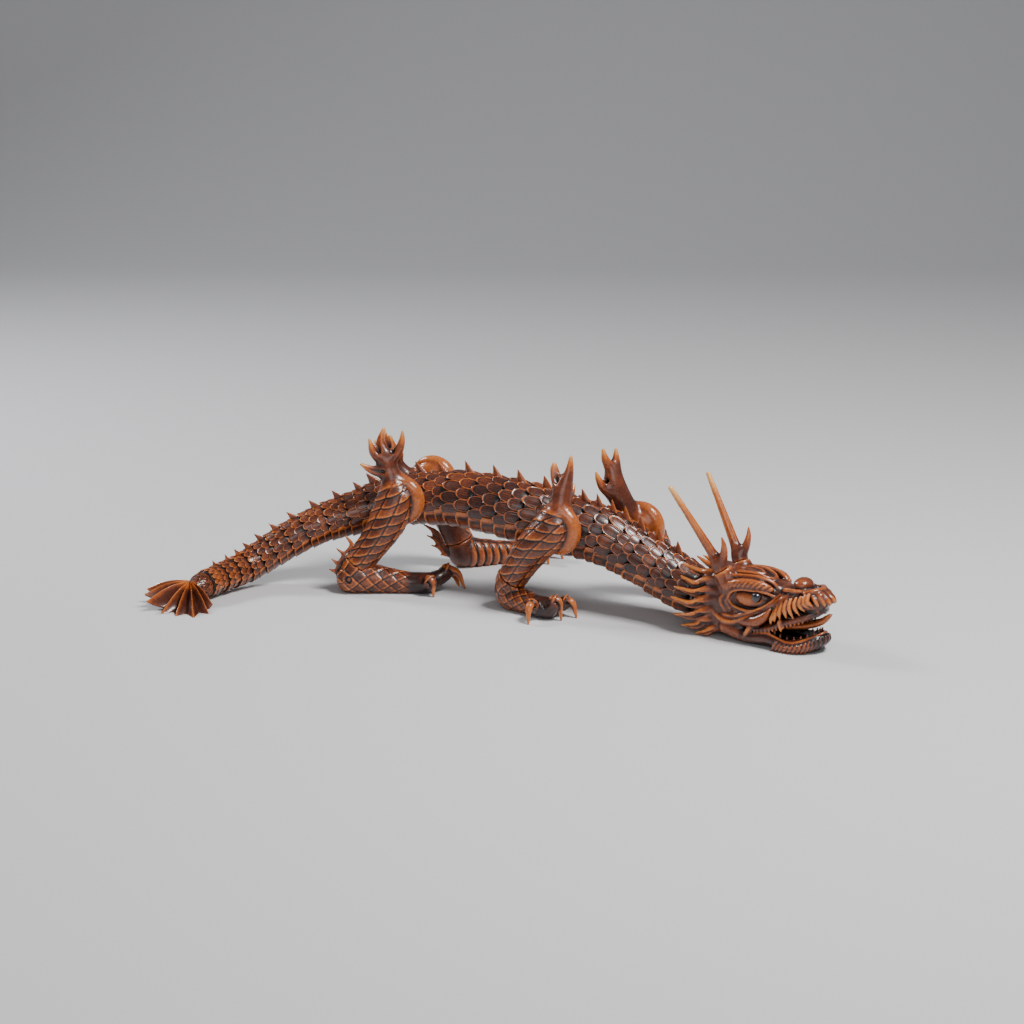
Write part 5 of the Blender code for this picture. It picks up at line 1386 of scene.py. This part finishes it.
    # lower teeth just inside the rim
    for x, y, z in ((34.5, 11.6, 8.4), (38.0, 11.6, 7.2), (42.0, 11.2, 6.2), (46.0, 10.6, 6.2), (49.5, 9.4, 7.4), (52.5, 7.6, 8.8), (55.2, 5.0, 10.2), (56.8, 2.0, 11.2)):
        jaw.chain([(x, y, z, 0.95), (x + 0.3, y - 0.1, z + 2.4, 0.4)], k=0.4)
    r = smooth_line(RIM, 8)
    seg = np.r_[0, np.cumsum(np.linalg.norm(np.diff(r[:, :3], axis=0), axis=1))]
    beard = []
    for j, s in enumerate(np.arange(seg[-1] * 0.44, seg[-1] + 1.0, 2.25)):
        p = np.array([np.interp(min(s, seg[-1]), seg, r[:, k]) for k in range(4)])
        drop = min(p[2] - 0.6, 7.5)
        lean = -2.8
        shrink = (p[1] - 0.0) / 13.0
        fx = float(np.clip((seg[-1] * 0.5 - (seg[-1] - s)) / (seg[-1] * 0.5), 0, 1))
        q = np.array([np.interp(min(s + 1.0, seg[-1]), seg, r[:, k]) - np.interp(min(s, seg[-1]) - 1.0, seg, r[:, k]) for k in range(2)])
        out = np.array([-q[1], q[0]]) / math.hypot(q[0], q[1])
        reach = 2.0 + 0.7 * min(1.0, fx * 3)
        beard.append([(p[0] + out[0] * reach * 0.7, p[1] + out[1] * reach * 0.7, p[2] - 1.4, 0.8),
                      (p[0] + out[0] * reach + lean * 0.4, p[1] + out[1] * reach, p[2] - drop * 0.55, 1.2),
                      (p[0] + out[0] * reach * 0.75 + lean, p[1] + out[1] * reach * 0.75, p[2] - drop, 0.75)])
    for b in beard:
        jaw.chain(b, k=0.35, n=4)
    f.d = smin(f.d, jaw.d, 1.0).astype(np.float32)
    jaw_d = jaw.d
    # tongue: grooved, with a curled tip
    tongue = Field(f.lo, f.lo + f.h * (f.n - 1), f.h)
    tongue.chain(TONGUE, k=0.5, squash=(2, 0.42))
    tongue.chain([(20, 0, 13.6, 0.7), (40, 0, 15.7, 0.8), (52, 0, 17.6, 0.7), (58, 0, 19.8, 0.5)], k=1.0, cut=True)
    f.d = smin(f.d, tongue.d, 0.6).astype(np.float32)
    # mane: swept locks, hollowed along their lower sides
    for root, bend, tip, r in LOCKS:
        f.chain([(root[0] + 3.0, root[1] - 2.6, root[2], r * 0.9), (root[0] - 3.0, root[1] + 0.4, root[2] + (bend[2] - root[2]) * 0.3, r * 0.95), (*bend, r * 0.80), (*tip, 0.5)], k=2.2, n=8)
    for root, bend, tip, r in LOCKS:
        q = np.array([root, bend, tip], float)
        q[:, 1] += (r * 0.45, r * 0.70, 0.3)
        q[:, 2] += (-r * 0.55, -r * 0.42, -0.2)
        f.chain([(*(q[0] * 0.7 + q[1] * 0.3), r * 0.26), (*q[1], r * 0.42), (*(q[1] * 0.35 + q[2] * 0.65), r * 0.22)], k=0.7, cut=True, n=7)
    for ax, az, bx, bz in ((-6.5, 32.6, -11.5, 31.8), (-7.0, 26.0, -12.5, 25.4), (-6.5, 20.0, -12.5, 19.4), (-6.0, 14.0, -12.0, 13.6), (-4.0, 8.8, -10.0, 8.4)):
        f.chain(on_side(f, [(ax, az, 0.2), ((ax + bx) / 2, (az + bz) / 2 - 0.2, 0.6), (bx, bz, 0.9)], 0.1), k=0.9, cut=True, n=1)
    f.chain([(-5, 0, 37.0, 2.6), (-14, 0, 37.4, 2.0), (-23, 0, 41.0, 0.5)], k=1.6)

    full = f.mirrored_y()

    def mir(d):
        return np.concatenate([d[:, :0:-1], d], axis=1)

    jaw_full, tongue_full = mir(jaw_d), mir(tongue.d)
    for sgn in (1, -1):
        base = np.array([HORN_BASE[0], HORN_BASE[1] * sgn, HORN_BASE[2]])
        lx, ly, lz = HORN_LEAN[sgn]
        lean = unit((lx, ly * sgn, lz))
        seat = Field.__new__(Field)
        seat.lo, seat.h, seat.n = full.lo, full.h, full.n
        seat.d = np.full(full.d.shape, Field.FAR, np.float32)
        seat.chain([(*(base - lean * 9.0), 6.6), (*(base - lean * 4.0), 5.8), (*(base + lean * 2.0), 5.4)], k=0.3)
        seat.d = smax(seat.d, plane(full, base, lean), 0.7)
        full.chain([(*(base + lean * t), 5.3) for t in (5.4, 9.0, 14.0)], k=0.3, cut=True, n=1)
        full.d = smin(full.d, seat.d, 1.2).astype(np.float32)
        px, py, pz = PUPIL
        full.ball((px, (py - 0.35) * sgn, pz), PUPIL_R + 0.75, k=0.25, cut=True)
    rows = BODY_ROWS.copy()
    rows[:, :3] = to_head(rows[:, :3])
    rows[:, 3] -= 0.1
    full.chain(rows[-14:], k=0.5, cut=True, n=1)
    full.d = smax(full.d, -plane(full, (0, 0, 0.0), (0, 0, 1.0)), 0.0)
    full.d = np.ascontiguousarray(full.d, np.float32)

    pos, quads = full.mesh()
    wear_and_shade = full.wear_and_shade(pos) * 1.15 - 0.02
    tone = np.full(len(pos), 0.45)

    temple = np.clip(2.0 - np.abs(pos[:, 0] - 2.5) / 5.0, 0, 1) * np.clip((pos[:, 2] - 8.0) / 3.0, 0, 1)
    wear_and_shade = wear_and_shade * (1 - temple) + np.maximum(wear_and_shade, -0.10) * temple
    tone += 0.28 * temple

    def paint(rows, amount, width=0.9, warm=0.0):
        w = np.clip(1.0 - near_line(pos, rows) / width, 0, 1)
        wear_and_shade[:] += amount * w
        tone[:] += warm * w

    paint([(x, y, z, r * 0.6) for x, y, z, r in cheek], 0.55, 1.0, 0.3)
    paint([(x, y, z, r * 0.6) for x, y, z, r in inner], 0.3, 0.7, 0.2)
    paint([(x, y + 0.4, z + 0.2, 0.2) for x, y, z, r in RIM], 0.85, 0.9, 0.35)
    paint(brow, 0.10, 1.0, 0.1)
    for lobe in lobes:
        paint([(x, y + 0.6, z, r * 0.5) for x, y, z, r in lobe], 0.40, 0.9, 0.45)
    for t in fangs:
        paint(t, 0.45, 0.6, 0.4)
    for root, bend, tip, r in LOCKS:
        paint([(root[0], root[1] + r * 0.6, root[2] + r * 0.75, 0.2), (bend[0], bend[1] + r * 0.5, bend[2] + r * 0.55, 0.2), (*tip, 0.2)], 0.55, 1.3, 0.35)
    gum = np.clip(1.0 - near_line(pos, GUM) / 0.8, 0, 1)
    wear_and_shade -= 0.30 * gum
    tone -= 0.3 * gum
    jw = np.clip(1.0 - np.abs(full.sample(jaw_full, pos)) / 0.5, 0, 1) * (pos[:, 0] > 14)
    wear_and_shade -= 0.28 * jw
    tone -= 0.35 * jw
    tg = np.clip(1.0 - np.abs(full.sample(tongue_full, pos)) / 0.4, 0, 1)
    wear_and_shade -= 0.10 * tg
    tone = np.clip(tone - 0.1 * tg, 0.0, 1.4)
    # painted shade inside the open mouth: darker towards the midline between the gum and the jaw
    ay = np.abs(pos[:, 1])
    inside = (ay < 10.5) & (pos[:, 0] > 20) & (pos[:, 2] < 24) & (pos[:, 2] > 4) & (tg < 0.5)
    wear_and_shade -= 0.45 * np.clip((10.5 - ay) / 3.0, 0, 1) * inside
    # the eyeball is warm towards the back, dark along the lids
    e = ((pos[:, 0] - 15.0) / 6.5) ** 2 + ((ay - 14.5) / 3.5) ** 2 + ((pos[:, 2] - 26.3) / 4.6) ** 2
    wear_and_shade += 0.55 * np.clip(1.3 - e, 0, 1)
    tone += 0.55 * np.clip(1.3 - e, 0, 1)
    wear_and_shade -= 0.20
    ob = make_piece("carved_head", from_head(pos), quads, wear_and_shade, tone, WOOD, ["head"])
    print("PIECE head", len(pos), len(quads) * 2)
    return ob


head()


# ---------------------------------------------------------------------- horns
def horn(sgn, name):
    base = head_point(HORN_BASE[0], HORN_BASE[1] * sgn, HORN_BASE[2])
    x, y, z = HORN_LEAN[sgn]
    lean = unit(HEAD_F * x + HEAD_L * y * sgn + np.array([0, 0, z]))
    start = base + lean * 0.35
    fwd = unit(HEAD_F - lean * float(HEAD_F @ lean))
    length = 54.5
    rows = [(*(start + lean * t * length + fwd * bow), r) for t, bow, r in
            ((-0.02, 0, 4.75), (0.05, 0, 4.4), (0.12, 0.3, 3.7), (0.2, 0.2, 2.85), (0.45, 0, 2.35), (0.75, -0.4, 1.85), (0.985, -0.8, 1.35))]
    foot = start + lean * 4.0
    prong = [(*(foot + fwd * 1.0), 3.3), (*(foot + fwd * 5.6 + lean * 2.2), 2.5), (*(foot + fwd * 9.8 + lean * 7.0), 1.6), (*(foot + fwd * 12.0 + lean * 12.0), 0.45)]
    lo, hi = bounds_of(rows + prong, 1.5)
    f = Field(lo, hi, 0.36)
    f.chain(rows, k=1.0, n=6)
    f.chain(prong, k=2.6, n=6)
    # a spoon hollow in the crotch, and flutes up the shaft
    f.chain([(*(foot + fwd * 4.4 + lean * 7.5), 0.8), (*(foot + fwd * 6.0 + lean * 11.5), 1.6)], k=1.5, cut=True)
    side = np.cross(lean, fwd)
    for a in np.arange(0, 6.28, 0.785):
        o = fwd * math.cos(a) + side * math.sin(a)
        f.chain([(*(np.array(r[:3]) + o * (r[3] + 0.12)), 0.30) for r in rows[3:6]], k=0.7, cut=True, n=5)
    f.d = smax(f.d, -plane(f, start, lean), 0.3)
    f.d = f.d.astype(np.float32)
    pos, quads = f.mesh()
    t = ((pos - start) @ lean) / length
    wear_and_shade = f.wear_and_shade(pos) * 0.8 + 0.25 * np.clip((t - 0.25) / 0.5, 0, 1) - 0.42 * np.clip(1 - t / 0.22, 0, 1)
    tone = 0.30 + 1.15 * np.clip((t - 0.55) / 0.45, 0, 1) ** 1.5 + 0.35 * np.clip((t - 0.2) / 0.3, 0, 1)
    make_piece("carved_" + name, pos, quads, wear_and_shade, tone, WOOD, [name])
    print("PIECE", name, len(pos), len(quads) * 2)


horn(1, "horn_left")
horn(-1, "horn_right")


def pupil(sgn, name):
    """A polished bead, a little deeper than a hemisphere."""
    c = head_point(PUPIL[0], PUPIL[1] * sgn, PUPIL[2])
    bm = bmesh.new()
    bmesh.ops.create_icosphere(bm, subdivisions=4, radius=PUPIL_R + 0.45)
    verts = [np.array(v.co) for v in bm.verts]
    faces = [tuple(v.index for v in p.verts) for p in bm.faces]
    bm.free()
    o = HEAD_L * sgn
    out = []
    for v in verts:
        k = float(v @ o)
        out.append(c + v - o * (0.35 + max(k - PUPIL_R * 0.7, 0) * 0.5))
    make_piece("bead_" + name, out, faces, 0.0, 0.0, BEAD, [name], slot="pupil")


pupil(1, "pupil_left")
pupil(-1, "pupil_right")

# --------------------------------------------------------- floor, light, camera
def studio():
    me = bpy.data.meshes.new("pale_floor")
    n = 24
    xs = [(-2.2 + 4.4 * i / 4) for i in range(5)]
    prof = [(-2.4, 0.0), (1.2, 0.0)] + [(1.2 + 0.9 * math.sin(a), 0.9 - 0.9 * math.cos(a)) for a in np.linspace(0.1, math.pi / 2, 12)] + [(2.1, 2.6)]
    verts = [(x, y, z) for y, z in prof for x in xs]
    faces = []
    for i in range(len(prof) - 1):
        for j in range(4):
            a = i * 5 + j
            faces.append((a, a + 1, a + 6, a + 5))
    me.from_pydata(verts, [], faces)
    me.polygons.foreach_set("use_smooth", [True] * len(me.polygons))
    ob = bpy.data.objects.new("pale_floor", me)
    bpy.context.scene.collection.objects.link(ob)
    m, nt, b = new_material("pale_paper")
    b.inputs["Base Color"].default_value = (0.62, 0.62, 0.63, 1)
    b.inputs["Roughness"].default_value = 0.85
    me.materials.append(m)

    def area(name, loc, target, size, power, color=(1, 1, 1)):
        la = bpy.data.lights.new(name, "AREA")
        la.shape = "RECTANGLE"
        la.size, la.size_y = size
        la.energy = power
        la.color = color
        lo = bpy.data.objects.new(name, la)
        lo.location = loc
        lo.rotation_euler = (Vector(target) - Vector(loc)).to_track_quat("-Z", "Y").to_euler()
        bpy.context.scene.collection.objects.link(lo)

    area("key_light", (0.50, -0.30, 0.95), (0.0, 0.0, 0.03), (0.34, 0.28), 15.0, (1.0, 0.985, 0.96))
    area("left_light", (-0.80, 0.50, 0.75), (0.0, 0.0, 0.03), (0.26, 0.26), 9.0, (0.96, 0.98, 1.0))
    area("front_fill", (-0.1, -1.6, 0.9), (0.0, 0.0, 0.03), (1.2, 0.8), 7.0)
    w = bpy.data.worlds.new("soft_grey")
    w.use_nodes = True
    w.node_tree.nodes["Background"].inputs[0].default_value = (0.55, 0.57, 0.60, 1)
    w.node_tree.nodes["Background"].inputs[1].default_value = 0.32
    bpy.context.scene.world = w

    cam = bpy.data.cameras.new("photo_camera")
    cam.lens = 85.0
    cam.sensor_width = 36.0
    cam.clip_start, cam.clip_end = 0.05, 20.0
    co = bpy.data.objects.new("photo_camera", cam)
    co.location = (0.01808, -1.35559, 0.4178)
    co.rotation_euler = (math.radians(75.0), 0.0, 0.0)
    bpy.context.scene.collection.objects.link(co)
    bpy.context.scene.camera = co


studio()
